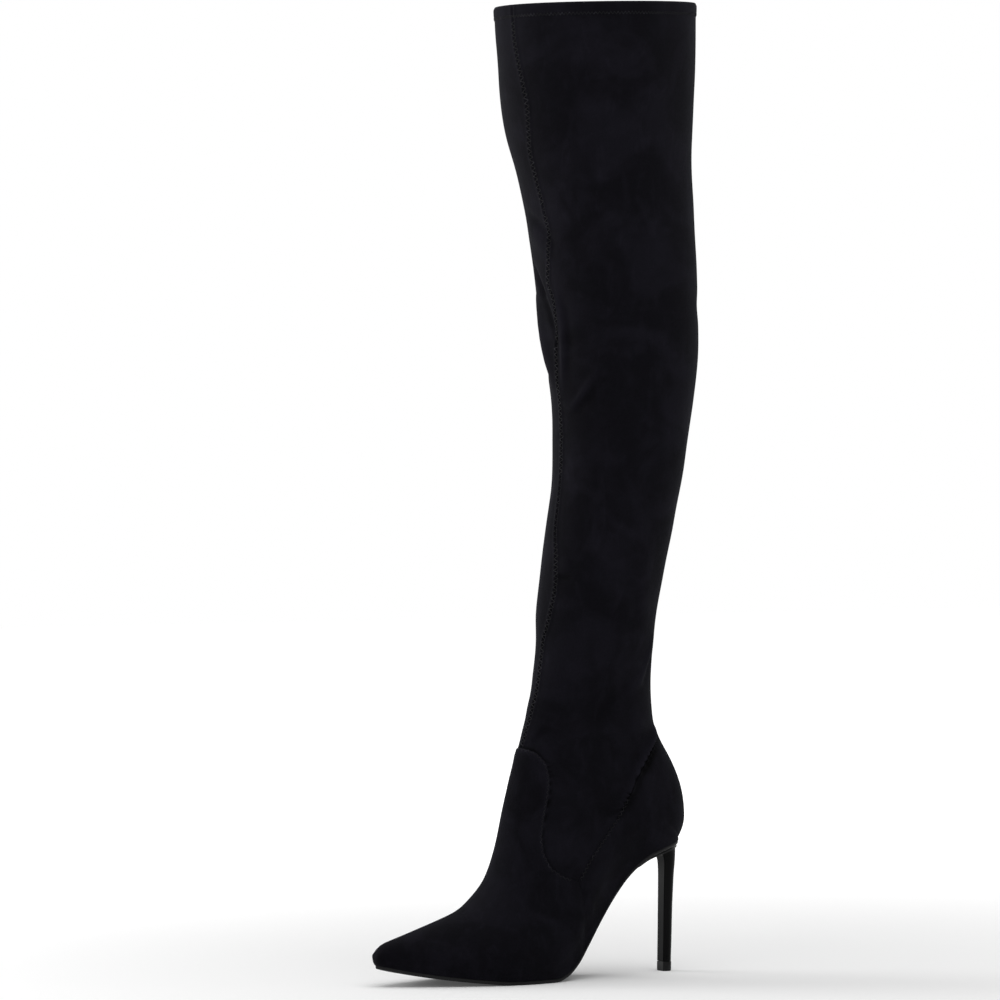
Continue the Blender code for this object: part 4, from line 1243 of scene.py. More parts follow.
def surface_tree(*objects):
    points, faces = [], []
    for found in objects:
        start = len(points)
        points += [v.co.copy() for v in found.data.vertices]
        faces += [tuple(start + c for c in face.vertices) for face in found.data.polygons]
    return BVHTree.FromPolygons(points, faces)


def even_path(places, spacing):
    """A line's points at an even spacing, and the ways it runs there."""
    run = run_along(places)
    count = max(int(round(run[-1] / spacing)), 2)
    found = between(np.linspace(0, run[-1], count + 1), run, places)
    return found, unit(np.gradient(found, axis=0))


def zigzag(places, facings, tree, spacing, near, far):
    """Runs of a zigzag stitch that crosses a line: near and far are its reach to each side."""
    path, run = even_path(places, spacing)
    facing = unit(between(np.linspace(0, 1, len(path)), np.linspace(0, 1, len(places)), facings))
    across = unit(np.cross(facing, run))
    corners = []
    for i in range(len(path)):
        reach = near if i % 2 else -far
        place, normal, _, _ = tree.find_nearest(Vector(path[i] + reach * across[i] + 0.001 * facing[i]))
        corners.append((np.array(place), np.array(normal)))
    return [(a, b, na + nb) for (a, na), (b, nb) in zip(corners, corners[1:])]


def stitch_tree(material):
    """Lays one rounded thread over each point of a mesh, along its run and flat on its face."""
    tree = bpy.data.node_groups.new("laid_stitches", "GeometryNodeTree")
    face = tree.interface
    face.new_socket("Geometry", in_out="INPUT", socket_type="NodeSocketGeometry")
    for name, default in (("Thread Width", 0.0005), ("Thread Height", 0.0004), ("Overlap", 1.08)):
        socket = face.new_socket(name, in_out="INPUT", socket_type="NodeSocketFloat")
        socket.default_value = default
        socket.min_value = 0.0
    face.new_socket("Geometry", in_out="OUTPUT", socket_type="NodeSocketGeometry")
    graph = Graph(tree)
    given = graph.add("NodeGroupInput").outputs

    def attribute(name, kind):
        node = graph.add("GeometryNodeInputNamedAttribute", {"Name": name}, data_type=kind)
        return node.outputs["Attribute"]

    thread = graph.add("GeometryNodeMeshUVSphere", {"Segments": 6, "Rings": 6, "Radius": 0.5})
    lying = {"Geometry": thread.outputs["Mesh"], "Rotation": (0.0, math.pi / 2, 0.0)}
    turned = graph.add("GeometryNodeTransform", lying)
    align = "FunctionNodeAlignRotationToVector"
    along = graph.add(align, {"Vector": attribute("run", "FLOAT_VECTOR")}, axis="X")
    upright = {"Rotation": along.outputs["Rotation"], "Vector": attribute("facing", "FLOAT_VECTOR")}
    upward = graph.add(align, upright, axis="Z", pivot_axis="X")
    reach = {0: attribute("reach", "FLOAT"), 1: given["Overlap"]}
    longer = graph.add("ShaderNodeMath", reach, operation="MULTIPLY")
    sizes = {"X": longer.outputs[0], "Y": given["Thread Width"], "Z": given["Thread Height"]}
    size = graph.add("ShaderNodeCombineXYZ", sizes)
    laid = graph.add("GeometryNodeInstanceOnPoints", {
        "Points": given["Geometry"], "Instance": turned.outputs["Geometry"],
        "Rotation": upward.outputs["Rotation"], "Scale": size.outputs["Vector"],
    })
    real = graph.add("GeometryNodeRealizeInstances", {"Geometry": laid.outputs["Instances"]})
    smooth = graph.add("GeometryNodeSetShadeSmooth", {"Geometry": real.outputs["Geometry"]})
    painted = {"Geometry": smooth.outputs["Geometry"], "Material": material}
    paint = graph.add("GeometryNodeSetMaterial", painted)
    graph.add("NodeGroupOutput", {"Geometry": paint.outputs["Geometry"]})
    return tree


def stitch_object(name, runs, tree, material, width, height):
    """Turns runs of stitching into one plain mesh through the stitch tree."""
    starts, ends, facing = (np.array([run[i] for run in runs]) for i in range(3))
    facing = unit(facing)
    mesh = bpy.data.meshes.new(name + "_places")
    mesh.from_pydata([tuple(p) for p in (starts + ends) / 2 + 0.22 * height * facing], [], [])
    for label, vectors in (("run", unit(ends - starts)), ("facing", facing)):
        layer = mesh.attributes.new(label, "FLOAT_VECTOR", "POINT")
        layer.data.foreach_set("vector", vectors.astype(np.float32).ravel())
    layer = mesh.attributes.new("reach", "FLOAT", "POINT")
    layer.data.foreach_set("value", np.linalg.norm(ends - starts, axis=1).astype(np.float32))
    maker = linked(name + "_maker", mesh)
    laid = maker.modifiers.new("stitches", "NODES")
    laid.node_group = tree
    for item in tree.interface.items_tree:
        if item.in_out == "INPUT" and item.name in ("Thread Width", "Thread Height"):
            laid[item.identifier] = width if item.name == "Thread Width" else height
    graph = bpy.context.evaluated_depsgraph_get()
    result = bpy.data.meshes.new_from_object(maker.evaluated_get(graph))
    result.name = name
    bpy.data.objects.remove(maker)
    if not result.materials:
        result.materials.append(material)
    return linked(name, result)


# The sole and the heel


def sole_loop(rows, shift):
    """The feather line moved outward in plan: its outer points, and its inner points, from the toe."""
    outer = np.array([(s["low_x"], s["edge_out"]) for s in rows])
    inner = np.array([(s["low_x"], -s["edge_in"]) for s in rows])
    loop = np.vstack([outer, inner[-2:0:-1]])
    step = np.roll(loop, -1, axis=0) - np.roll(loop, 1, axis=0)
    away = unit(np.column_stack([-step[:, 1], step[:, 0]]))
    if np.sum(away * (loop - loop.mean(axis=0))) < 0:
        away = -away
    moved = loop + shift * away
    count = len(outer)
    return moved[:count], np.vstack([moved[:1], moved[: count - 1 : -1], moved[count - 1 : count]])


def sole_body(rows, levels, tread=None):
    """A plate under the foot. Levels go from the top down, each with its outward shift and its height."""
    body = Body()
    loops = []
    for shift, height in levels:
        loops.append([[body.point((x, y, height(x))) for x, y in side] for side in sole_loop(rows, shift)])
    body.strip(*loops[0])
    for upper, lower in zip(loops, loops[1:]):
        body.strip(lower[0], upper[0])
        body.strip(upper[1], lower[1])
    if tread is None:
        body.strip(loops[-1][1], loops[-1][0])
    else:
        tread(body, loops[-1])
    return body


def tread_cut(x):
    """How deep the tread's fine grooves across the forefoot are at a place."""
    if not TREAD_START < x < TREAD_END:
        return 0.0
    return TREAD_DEPTH if ((x - TREAD_START) % TREAD_PITCH) / TREAD_PITCH > TREAD_RIB else 0.0


def tread_face(body, loop):
    """The underside, with fine grooves across the forefoot inside a plain border."""
    lines = []
    for first, final in zip(*loop):
        a, b = np.array(body.points[first]), np.array(body.points[final])
        width = np.linalg.norm(a - b)
        border = min(TREAD_BORDER, 0.3 * width)
        lip = min(border + 0.0004, 0.35 * width)
        cut = tread_cut(a[0])
        line = [first]
        for reach, raised in ((border, 0), (lip, 1), (width - lip, 1), (width - border, 0)):
            x, y, z = a + reach / max(width, SMALLEST) * (b - a)
            line.append(body.point((x, y, z + raised * cut)))
        lines.append(line + [final])
    body.grid(lines, flip=True)


def sole_rows(last, spacing, extra=()):
    """Sections of the foot at an even spacing along the feather line, closer round the two ends."""
    fine = np.linspace(0, last.seat_rear, 1500)
    found = [last.section(along) for along in fine]
    x = np.array([s["low_x"] for s in found])
    y = np.array([s["edge_out"] for s in found])
    run = np.concatenate([[0], np.cumsum(np.hypot(np.diff(x), np.diff(y)))])
    wanted = list(np.arange(0, run[-1], spacing)) + [run[-1], 0.0004, 0.0009, run[-1] - 0.0008]
    for place in extra:
        wanted.append(float(np.interp(-place, -x, run)))
    return [last.section(float(np.interp(w, run, fine))) for w in sorted(set(wanted))]


def rounded_ring(half_width, middle, row, radius):
    """A heel's section in plan: a flat breast, rounded corners and a round back."""
    side = np.linspace(0, 1, 9)[:0:-1]
    back, front, corner = (row[name] for name in ("back", "front", "corner"))
    outer = [(middle + s * front * half_width, (1 + s * (corner - 1)) * half_width) for s in side]
    arc = np.linspace(0, math.pi, 41)
    rear = [(middle - back * half_width * math.sin(a), half_width * math.cos(a)) for a in arc]
    loop = np.array(outer + rear + [(x, -y) for x, y in outer[::-1]])
    first = loop[0]
    breast = [np.array([first[0], y]) for y in np.linspace(-first[1], first[1], 13)[1:-1]]
    cut = min(radius, 0.45 * half_width)
    rounded = []
    for corner_at, before, after in ((loop[-1], loop[-2], breast[0]), (loop[0], breast[-1], loop[1])):
        start = corner_at + cut * unit(before - corner_at)
        end = corner_at + cut * unit(after - corner_at)
        t = np.linspace(0, 1, 7)[:, None]
        rounded.append((1 - t) ** 2 * start + 2 * (1 - t) * t * corner_at + t**2 * end)
    keep = [p for p in loop[1:-1] if min(np.linalg.norm(p - loop[0]), np.linalg.norm(p - loop[-1])) > cut]
    flat = [p for p in breast if abs(p[1]) < first[1] - cut]
    return np.vstack([rounded[1], keep, rounded[0], flat])


def lofted(rings):
    """A closed solid through rings with the same number of points."""
    body = Body()
    lines = [body.line(ring) for ring in rings]
    for lower, upper in zip(lines, lines[1:]):
        body.strip(lower + lower[:1], upper + upper[:1])
    for line, place, flip in ((lines[0], rings[0], True), (lines[-1], rings[-1], False)):
        hub = body.point(np.mean(np.array(place), axis=0))
        for a, b in zip(line[-1:] + line, line):
            body.face([b, a, hub] if flip else [a, b, hub])
    return body


def heel_lines():
    columns = table_columns(HEEL_SHAPE)
    return {name: EasedLine(columns["height"], columns[name]) for name in HEEL_SHAPE[0][1:]}


def heel_body(looks):
    """The heel, from just over its top piece to just under the outsole."""
    lines = heel_lines()
    base = TOP_PIECE_HEIGHT + SEAM_GAP
    shares = np.concatenate([np.linspace(0, 0.84, 40), np.linspace(0.845, 0.98, 46), [0.985, 0.992, 1.0]])
    rings = []
    for share in shares:
        row = {name: line(share) for name, line in lines.items()}
        half_width = (TIP_WIDTH + row["flare"] * (SEAT_WIDTH - TIP_WIDTH)) / 2
        plan = rounded_ring(half_width, row["middle"] * LAST_LENGTH, row, looks.heel_corner * half_width)
        ring = []
        for x, y in plan:
            level = (1 - share) * WALKING_HEIGHT(0) + share * WALKING_HEIGHT(x) - HEEL_GAP
            ring.append((x, y, base + share * (level - base)))
        rings.append(ring)
    return lofted(rings)


def top_piece_body(looks):
    """The heel's tip, a little wider than the heel and with its edges broken."""
    row = table_rows(HEEL_SHAPE)[0]
    top = TOP_PIECE_HEIGHT
    lower_edge = ((0.0, 0.0006), (0.00015, 0.00025), (0.0006, 0.0))
    upper_edge = ((top - 0.0004, 0.0), (top - 0.0001, 0.00015), (top, 0.0004))
    rings = []
    for height, inset in lower_edge + upper_edge:
        half_width = TIP_WIDTH / 2 + TOP_PIECE_LEDGE - inset
        plan = rounded_ring(half_width, 0.0, row, looks.heel_corner * half_width)
        rings.append([(x, y, height) for x, y in plan])
    return lofted(rings)


# Finishes


class Graph:
    """Adds nodes to a tree and links them."""

    def __init__(self, tree):
        self.nodes, self.links = tree.nodes, tree.links

    def feed(self, socket, value):
        """Links an input to another node's output, or sets it to a value."""
        if isinstance(value, bpy.types.NodeSocket):
            self.links.new(value, socket)
        else:
            socket.default_value = value

    def add(self, kind, inputs=None, **settings):
        """A new node with these settings and inputs."""
        node = self.nodes.new(kind)
        for name, value in settings.items():
            setattr(node, name, value)
        for label, value in (inputs or {}).items():
            self.feed(node.inputs[label], value)
        return node

    def place(self):
        return self.add("ShaderNodeTexCoord").outputs["Object"]

    def noise(self, place, scale, detail, rough=0.5, twist=0.0):
        sizes = {"Scale": scale, "Detail": detail, "Roughness": rough, "Distortion": twist, "Vector": place}
        return self.add("ShaderNodeTexNoise", sizes).outputs["Fac"]

    def ranged(self, value, low, high, out_low=0.0, out_high=1.0, soft=True):
        ends = {"Value": value, "From Min": low, "From Max": high, "To Min": out_low, "To Max": out_high}
        kind = "SMOOTHSTEP" if soft else "LINEAR"
        return self.add("ShaderNodeMapRange", ends, interpolation_type=kind).outputs["Result"]

    def sum_of(self, *terms):
        """A sum of values, each with its weight."""
        total = 0.0
        for value, weight in terms:
            parts = {0: value, 1: weight, 2: total}
            total = self.add("ShaderNodeMath", parts, operation="MULTIPLY_ADD").outputs[0]
        return total

    def scaled(self, place, size, stretch=None):
        """Places times a number, and then times a stretch along each way."""
        found = self.add("ShaderNodeVectorMath", {0: place, "Scale": size}, operation="SCALE").outputs[0]
        if stretch:
            found = self.add("ShaderNodeVectorMath", {0: found, 1: stretch}, operation="MULTIPLY").outputs[0]
        return found

    def shade_between(self, shader, factor, dark, light):
        ends = {"Factor": factor, "A": (*dark, 1.0), "B": (*light, 1.0)}
        mixed = self.add("ShaderNodeMix", ends, data_type="RGBA", clamp_factor=False)
        self.feed(shader.inputs["Base Color"], mixed.outputs["Result"])

    def bumped(self, shader, height, strength, depth):
        bump = self.add("ShaderNodeBump", {"Strength": strength, "Distance": depth, "Height": height})
        self.feed(shader.inputs["Normal"], bump.outputs["Normal"])


def new_material(name, colour, roughness, **plain):
    """A material with its shader's plain sockets set, its shader, and what adds nodes to it."""
    material = bpy.data.materials.new(name)
    material.use_nodes = True
    shader = material.node_tree.nodes["Principled BSDF"]
    shader.inputs["Base Color"].default_value = (*colour, 1.0)
    shader.inputs["Roughness"].default_value = roughness
    shader.inputs["Metallic"].default_value = 0.0
    for label, value in plain.items():
        shader.inputs[label.replace("_", " ").title().replace("Ior", "IOR")].default_value = value
    return material, shader, Graph(material.node_tree)


def node_group(name, inputs, outputs):
    """A group's tree, what adds nodes to it, its given values and its result's inputs."""
    tree = bpy.data.node_groups.new(name, "ShaderNodeTree")
    for label, default in inputs:
        socket = tree.interface.new_socket(label, in_out="INPUT", socket_type="NodeSocketFloat")
        socket.default_value = default
    for label in outputs:
        tree.interface.new_socket(label, in_out="OUTPUT", socket_type="NodeSocketFloat")
    graph = Graph(tree)
    return tree, graph, graph.add("NodeGroupInput").outputs, graph.add("NodeGroupOutput").inputs


def nap_group():
    """Brushed nap: patches where it lies one way or the other, finger strokes through it, and its fibres."""
    tree, graph, given, result = node_group(
        "suede_nap", (("Patches per Metre", 26.0), ("Fibres per Metre", 2600.0)), ("Shade", "Height")
    )
    place = graph.place()
    broad = graph.scaled(place, given["Patches per Metre"])
    patch = graph.ranged(graph.noise(broad, 1.0, 3.0, 0.55, 0.7), 0.40, 0.64)
    spots = graph.ranged(graph.noise(broad, 3.3, 2.0, 0.5, 0.4), 0.45, 0.68)
    slanted = graph.scaled(place, given["Patches per Metre"], (3.4, 3.4, 1.2))
    stroke = graph.ranged(graph.noise(slanted, 1.3, 2.0, 0.5, 1.1), 0.54, 0.72)
    fine = graph.scaled(place, given["Fibres per Metre"])
    fibre = graph.noise(fine, 1.0, 3.0, 0.65)
    tuft = graph.noise(fine, 0.27, 2.0, 0.6)
    shade = graph.sum_of((patch, 0.46), (spots, 0.16), (stroke, 0.24), (tuft, 0.18), (fibre, 0.16))
    graph.feed(result["Shade"], shade)
    graph.feed(result["Height"], graph.sum_of((fibre, 0.5), (tuft, 0.7), (patch, 0.35)))
    return tree


def speckle_group():
    """Fine moulded grain with faint scuffs, for the sole, the heel and the heel's tip."""
    tree, graph, given, result = node_group(
        "moulded_grain", (("Grain per Metre", 900.0), ("Scuffs per Metre", 60.0)), ("Grain", "Scuffs")
    )
    place = graph.place()
    fine = graph.scaled(place, given["Grain per Metre"])
    graph.feed(result["Grain"], graph.noise(fine, 1.0, 3.0, 0.6))
    broad = graph.scaled(place, given["Scuffs per Metre"], (1.0, 3.0, 1.6))
    graph.feed(result["Scuffs"], graph.ranged(graph.noise(broad, 1.0, 4.0, 0.6, 0.8), 0.58, 0.72))
    return tree


def times(colour, factor):
    return tuple(c * factor for c in colour)


def suede(name, looks, nap, patches, painted_shade_factor=1.0):
    """The nap, with painted highlights on the folds and painted shade in the creases and beside the overlays'
    edges.
    """
    material, shader, graph = new_material(
        name, looks.suede_colour, 0.93, specular_ior_level=0.06, sheen_weight=looks.sheen,
        sheen_roughness=0.42,
    )
    shader.inputs["Sheen Tint"].default_value = (0.80, 0.84, 1.0, 1.0)
    counts = {"Patches per Metre": patches, "Fibres per Metre": looks.fibres}
    brushed = graph.add("ShaderNodeGroup", counts, node_tree=nap).outputs
    # The painted highlights on the folds and painted shade in the creases and beside the overlays' edges,
    # kept on the mesh
    folds = graph.add("ShaderNodeAttribute", attribute_name="painted_fold_shade").outputs["Fac"]
    shade = graph.sum_of((brushed["Shade"], 1.0), (folds, looks.painted_fold_shade))
    shade = graph.ranged(shade, *NAP_RANGE, *NAP_RANGE, False)
    # Below 1 the last factor darkens the whole suede as painted shade
    dark, light = times(looks.suede_colour, 0.55 * painted_shade_factor), times(looks.suede_colour, 1.75 * painted_shade_factor)
    graph.shade_between(shader, shade, dark, light)
    graph.bumped(shader, brushed["Height"], 0.55, looks.nap_depth)
    return material


def knitted_lining(looks):
    """The wrong side of the stretch cloth: fine knitted ribs."""
    colour = looks.lining_colour
    material, shader, graph = new_material("knit_lining", colour, 0.9, specular_ior_level=0.1)
    ribs = {"Scale": 340.0, "Distortion": 1.2, "Vector": graph.place()}
    rows = graph.add("ShaderNodeTexWave", ribs, bands_direction="Z").outputs["Fac"]
    graph.shade_between(shader, graph.ranged(rows, 0.2, 0.9), times(colour, 0.7), times(colour, 1.5))
    graph.bumped(shader, rows, 0.4, 0.0003)
    return material


def moulded(name, colour, roughness, speckle, grain_depth, scuffed=0.0, grain=900.0, **plain):
    """A moulded or coated finish: fine grain, and scuffs that dull it a little."""
    material, shader, graph = new_material(name, colour, roughness, **plain)
    counts = {"Grain per Metre": grain, "Scuffs per Metre": 60.0}
    worn = graph.add("ShaderNodeGroup", counts, node_tree=speckle).outputs
    graph.shade_between(shader, worn["Scuffs"], colour, times(colour, 1 + scuffed))
    rough = graph.ranged(worn["Scuffs"], 0.0, 1.0, roughness, min(roughness + 0.18, 1.0), False)
    graph.feed(shader.inputs["Roughness"], rough)
    graph.bumped(shader, worn["Grain"], 0.4, grain_depth)
    return material


# The settings a user would change


def colour_setting(name, description, default):
    return bpy.props.FloatVectorProperty(
        name=name, description=description, default=default, subtype="COLOR", size=3, min=0.0, max=1.0
    )


def length_setting(name, description, default, least=0.0):
    return bpy.props.FloatProperty(
        name=name, description=description, default=default, min=least, unit="LENGTH", precision=5
    )


def share_setting(name, description, default, most=1.0):
    return bpy.props.FloatProperty(
        name=name, description=description, default=default, min=0.0, max=most, subtype="FACTOR"
    )


class BootLooks(bpy.types.PropertyGroup):
    suede_colour: colour_setting("Suede colour", "The suede's middle shade", (0.0039, 0.0036, 0.0056))
    lining_colour: colour_setting(
        "Lining colour", "The cloth's wrong side, seen inside the collar", (0.0075, 0.0075, 0.0085)
    )
    thread_colour: colour_setting("Thread colour", "The thread of all the stitches", (0.0056, 0.0054, 0.0072))
    heel_colour: colour_setting("Heel colour", "The heel's gloss coat", (0.0018, 0.0018, 0.0021))
    sole_colour: colour_setting("Sole colour", "The outsole's resin", (0.0055, 0.0055, 0.0062))
    sheen: share_setting("Sheen", "How much the nap catches light at a grazing angle", 0.022)
    fibres: bpy.props.FloatProperty(
        name="Fibres per metre", description="How fine the nap is", default=2600.0, min=100.0
    )
    nap_depth: length_setting("Nap depth", "How deep the nap's fibres look", 0.00028)
    fold_depth: length_setting("Fold depth", "How high the folds and creases stand", 0.001)
    # How strongly the painted highlights on the folds and the painted shade in the creases show in the nap's
    # colour
    painted_fold_shade: share_setting(
        "Fold shade", "How much lighter the nap is on the folds and darker in the creases", 0.55, 2.0
    )
    slack_depth: length_setting("Slack", "How far the empty shaft waves in and out", 0.0011)
    collar_dip: length_setting("Collar dip", "How far the collar's edge sinks on both sides", 0.0008)
    puff: length_setting("Puff", "How far the shaft stands out over the counter's edge", 0.0028)
    seam_depth: length_setting("Seam depth", "How deep the leg seams are drawn in", 0.0008)
    hem_height: length_setting("Hem height", "From the collar's edge down to the hem's stitches", 0.0080)
    overlay_wall: length_setting("Overlay wall", "How thick the vamp and the counter are", 0.00065)
    vamp_inset: length_setting("Vamp inset", "How far the upper gives way under the vamp", 0.0007)
    overlay_edge: share_setting(
        "Overlay edge", "The overlays' wall at their stitched edge, as a share of it", 0.35
    )
    thread_width: length_setting("Thread width", "The width of a laid stitch", 0.00055)
    thread_height: length_setting("Thread height", "How high a laid stitch stands", 0.00045)
    stitch_spacing: length_setting(
        "Stitch spacing", "From one needle hole to the next along a seam", 0.0017, 0.0003
    )
    heel_corner: share_setting(
        "Heel corner", "How round the breast's corners are, as a share of half the width", 0.16, 0.5
    )
    camera_lens: bpy.props.FloatProperty(
        name="Camera lens", description="The camera's focal length on a 36 mm sensor", default=203.47,
        min=20.0, unit="CAMERA",
    )


# What the operators share


shared = {}


def looks_of(context):
    return context.scene.boot_looks


def made_skin(context):
    if "skin" not in shared:
        shared["skin"] = Skin(looks_of(context))
    return shared["skin"]


def group_of(name, maker):
    if name not in shared:
        shared[name] = maker()
    return shared[name]


def need(*names):
    found = [bpy.data.objects.get(name) for name in names]
    if not all(found):
        raise RuntimeError("make these pieces first: " + ", ".join(names))
    return found


def thread_material(looks):
    """Twisted thread with painted glints: random spots painted lighter, as if catching the light here and
    there.
    """
    colour = looks.thread_colour
    material, shader, graph = new_material("black_thread", colour, 0.6, specular_ior_level=0.14)
    place = graph.place()
    strands = {"Scale": 1500.0, "Vector": place}
    twist = graph.add("ShaderNodeTexWave", strands, bands_direction="DIAGONAL").outputs["Fac"]
    # Painted glints: random spots of the thread painted lighter
    painted_glints = graph.ranged(graph.noise(place, 190.0, 2.0), 0.52, 0.72)
    shade = graph.sum_of((twist, 0.7), (painted_glints, 3.2))
    graph.shade_between(shader, shade, times(colour, 0.6), times(colour, 1.3))
    graph.bumped(shader, twist, 0.5, 0.00008)
    return material


class BOOT_OT_upper(bpy.types.Operator):
    """Make the suede upper with its folds, leg seams, folded hem and knitted wrong side"""

    bl_idname = "boot.upper"
    bl_label = "Upper"

    def execute(self, context):
        looks, skin = looks_of(context), made_skin(context)
        body = upper_body(skin, looks)
        nap = group_of("nap", nap_group)
        materials = [suede("shaft_suede", looks, nap, 24.0), knitted_lining(looks)]
        found = mesh_object("boot_upper", body.points, body.faces, materials, body.inner)
        give_painted_shade(found, skin)
        finish_piece(found, "suede", "upper")
        return {"FINISHED"}


class BOOT_OT_overlays(bpy.types.Operator):
    """Make the vamp with its tongue and the counter round the heel"""

    bl_idname = "boot.overlays"
    bl_label = "Vamp and counter"

    def execute(self, context):
        looks, skin = looks_of(context), made_skin(context)
        # The overlays' suede is painted a little darker (0.96), a painted shade for the shadow over the foot
        material = suede("overlay_suede_nap_painted_shade", looks, group_of("nap", nap_group), 34.0, 0.96)
        for name, maker in (("vamp", vamp_sheet), ("counter", counter_sheet)):
            points, faces = overlay_wall(*maker(skin), looks)
            found = mesh_object("boot_" + name, points, faces, [material])
            give_painted_shade(found, skin)
            finish_piece(found, "overlay_suede", name)
        return {"FINISHED"}


class BOOT_OT_stitches(bpy.types.Operator):
    """Lay the stitches of the hem, the front leg seam, the vamp and the counter"""

    bl_idname = "boot.stitches"
    bl_label = "Stitches"

    def execute(self, context):
        looks, skin = looks_of(context), made_skin(context)
        pieces = need("boot_upper", "boot_vamp", "boot_counter")
        material = thread_material(looks)
        tree = stitch_tree(material)
        shaft, whole = surface_tree(pieces[0]), surface_tree(*pieces)
        step = looks.stitch_spacing
        lines = {
            "hem_stitches": hem_stitches(skin, shaft, looks),
            "front_seam_stitches": front_stitches(skin, shaft, step),
            "vamp_stitches": edge_stitches(skin, whole, "vamp", step),
            "counter_stitches": edge_stitches(skin, whole, "counter", step),
        }
        for name, runs in lines.items():
            found = stitch_object(name, runs, tree, material, looks.thread_width, looks.thread_height)
            finish_piece(found, "overlay_suede" if name[0] in "vc" else "suede")
        return {"FINISHED"}


def hem_stitches(skin, tree, looks):
    """A zigzag round the collar, its upper corners on the fold and its lower ones on the shaft."""
    places, facings = [], []
    for column in range(skin.columns + 1):
        fall = np.linalg.norm(skin.base[:, column] - skin.base[-1, column], axis=1)[::-1]
        row = len(skin.base) - 1 - np.interp(looks.hem_height, fall, np.arange(len(fall)))
        places.append(skin.at(row, float(column)))
        facings.append(skin.normal_at(row, float(column)))
    step = HEM_CLOSER * looks.stitch_spacing
    return zigzag(np.array(places), np.array(facings), tree, step, HEM_REACH, HEM_REACH)


def front_stitches(skin, tree, step):
    """The front seam is laid flat with a zigzag over it."""
    first = skin.seam_row("vamp", HALF_COLUMNS)
    fall = np.linalg.norm(skin.base[:, HALF_COLUMNS] - skin.base[-1, HALF_COLUMNS], axis=1)
    rows = [r for r in range(int(first) + 2, len(skin.base)) if fall[r] > HEM_DEPTH]
    places, facings = skin.places[rows, HALF_COLUMNS], skin.normals[rows, HALF_COLUMNS]
    return zigzag(places, facings, tree, step * FRONT_WIDER, FRONT_REACH, FRONT_REACH)


def edge_stitches(skin, tree, name, step):
    """A zigzag over the stitched edge of an overlay."""
    found = []
    lowest, highest = STITCHED[name]
    for line in skin.seams[name]:
        if len(line) < SHORTEST_STITCHED:
            continue
        rows, columns = seam_samples(skin, line, SEAM_PLACES).T
        places, facings = skin.at(rows, columns), skin.normal_at(rows, columns)
        kept = np.flatnonzero((places[:, 2] > lowest) & (places[:, 2] < highest))
        places, facings = places[kept[0] : kept[-1] + 1], facings[kept[0] : kept[-1] + 1]
        reach = EDGE_REACH if lies_ahead(places, facings, name) else EDGE_REACH[::-1]
        found += zigzag(places, facings, tree, step, *reach)
    return found


def lies_ahead(places, facings, name):
    """Whether an overlay lies on the side of its seam that a zigzag calls near."""
    middle = len(places) // 3
    run = unit(places[middle + 1] - places[middle - 1])
    across = unit(np.cross(facings[middle], run))
    return seam_distance(places[middle] + 0.002 * across, name) < 0


class BOOT_OT_sole(bpy.types.Operator):
    """Make the thin outsole with its grooved forefoot, and the sock under the foot"""

    bl_idname = "boot.sole"
    bl_label = "Sole"

    def execute(self, context):
        looks, last = looks_of(context), made_skin(context).last
        speckle = group_of("speckle", speckle_group)

        def plate(share):
            return lambda x: WALKING_HEIGHT(x) + OUTSOLE_THICKNESS * share

        levels = [(SOLE_LEDGE * ledge, plate(share)) for ledge, share in SOLE_EDGE]
        starts = [TREAD_START + TREAD_PITCH * i for i in range(TREAD_GROOVES)]
        rows = sole_rows(last, TREAD_PITCH, [start + edge for start in starts for edge in TREAD_EDGES])
        body = sole_body(rows, levels, tread_face)
        resin = moulded(
            "outsole_resin_grain", looks.sole_colour, 0.5, speckle, 0.00006, 0.5, specular_ior_level=0.2
        )
        found = mesh_object("boot_outsole", body.points, body.faces, [resin], sharp=35)
        finish_piece(found, "outsole_resin", "outsole")
        self.sock(last, speckle)
        return {"FINISHED"}

    def sock(self, last, speckle):
        shift = -(UPPER_WALL + INSOLE_EASE)

        def level(share):
            def height(x):
                reach = 0.016 * LAST_LENGTH
                rise = WALKING_HEIGHT(x + reach) - WALKING_HEIGHT(x - reach)
                slant = math.hypot(1.0, rise / (2 * reach))
                return feather_height(x) + (UPPER_WALL + SEAM_GAP + share * INSOLE_THICKNESS) * slant

            return height

        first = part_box("insole")[1].x
        rows = [s for s in sole_rows(last, 0.0035) if s["low_x"] <= first + 0.0001]
        levels = [(shift - inset, level(share)) for inset, share in SOCK_EDGE]
        body = sole_body(rows, levels)
        leather = moulded("sock_leather", (0.010, 0.010, 0.011), 0.6, speckle, 0.00012, 0.4, 1400.0)
        found = mesh_object("boot_sock", body.points, body.faces, [leather], sharp=40)
        finish_piece(found, "insole_sock", "insole")


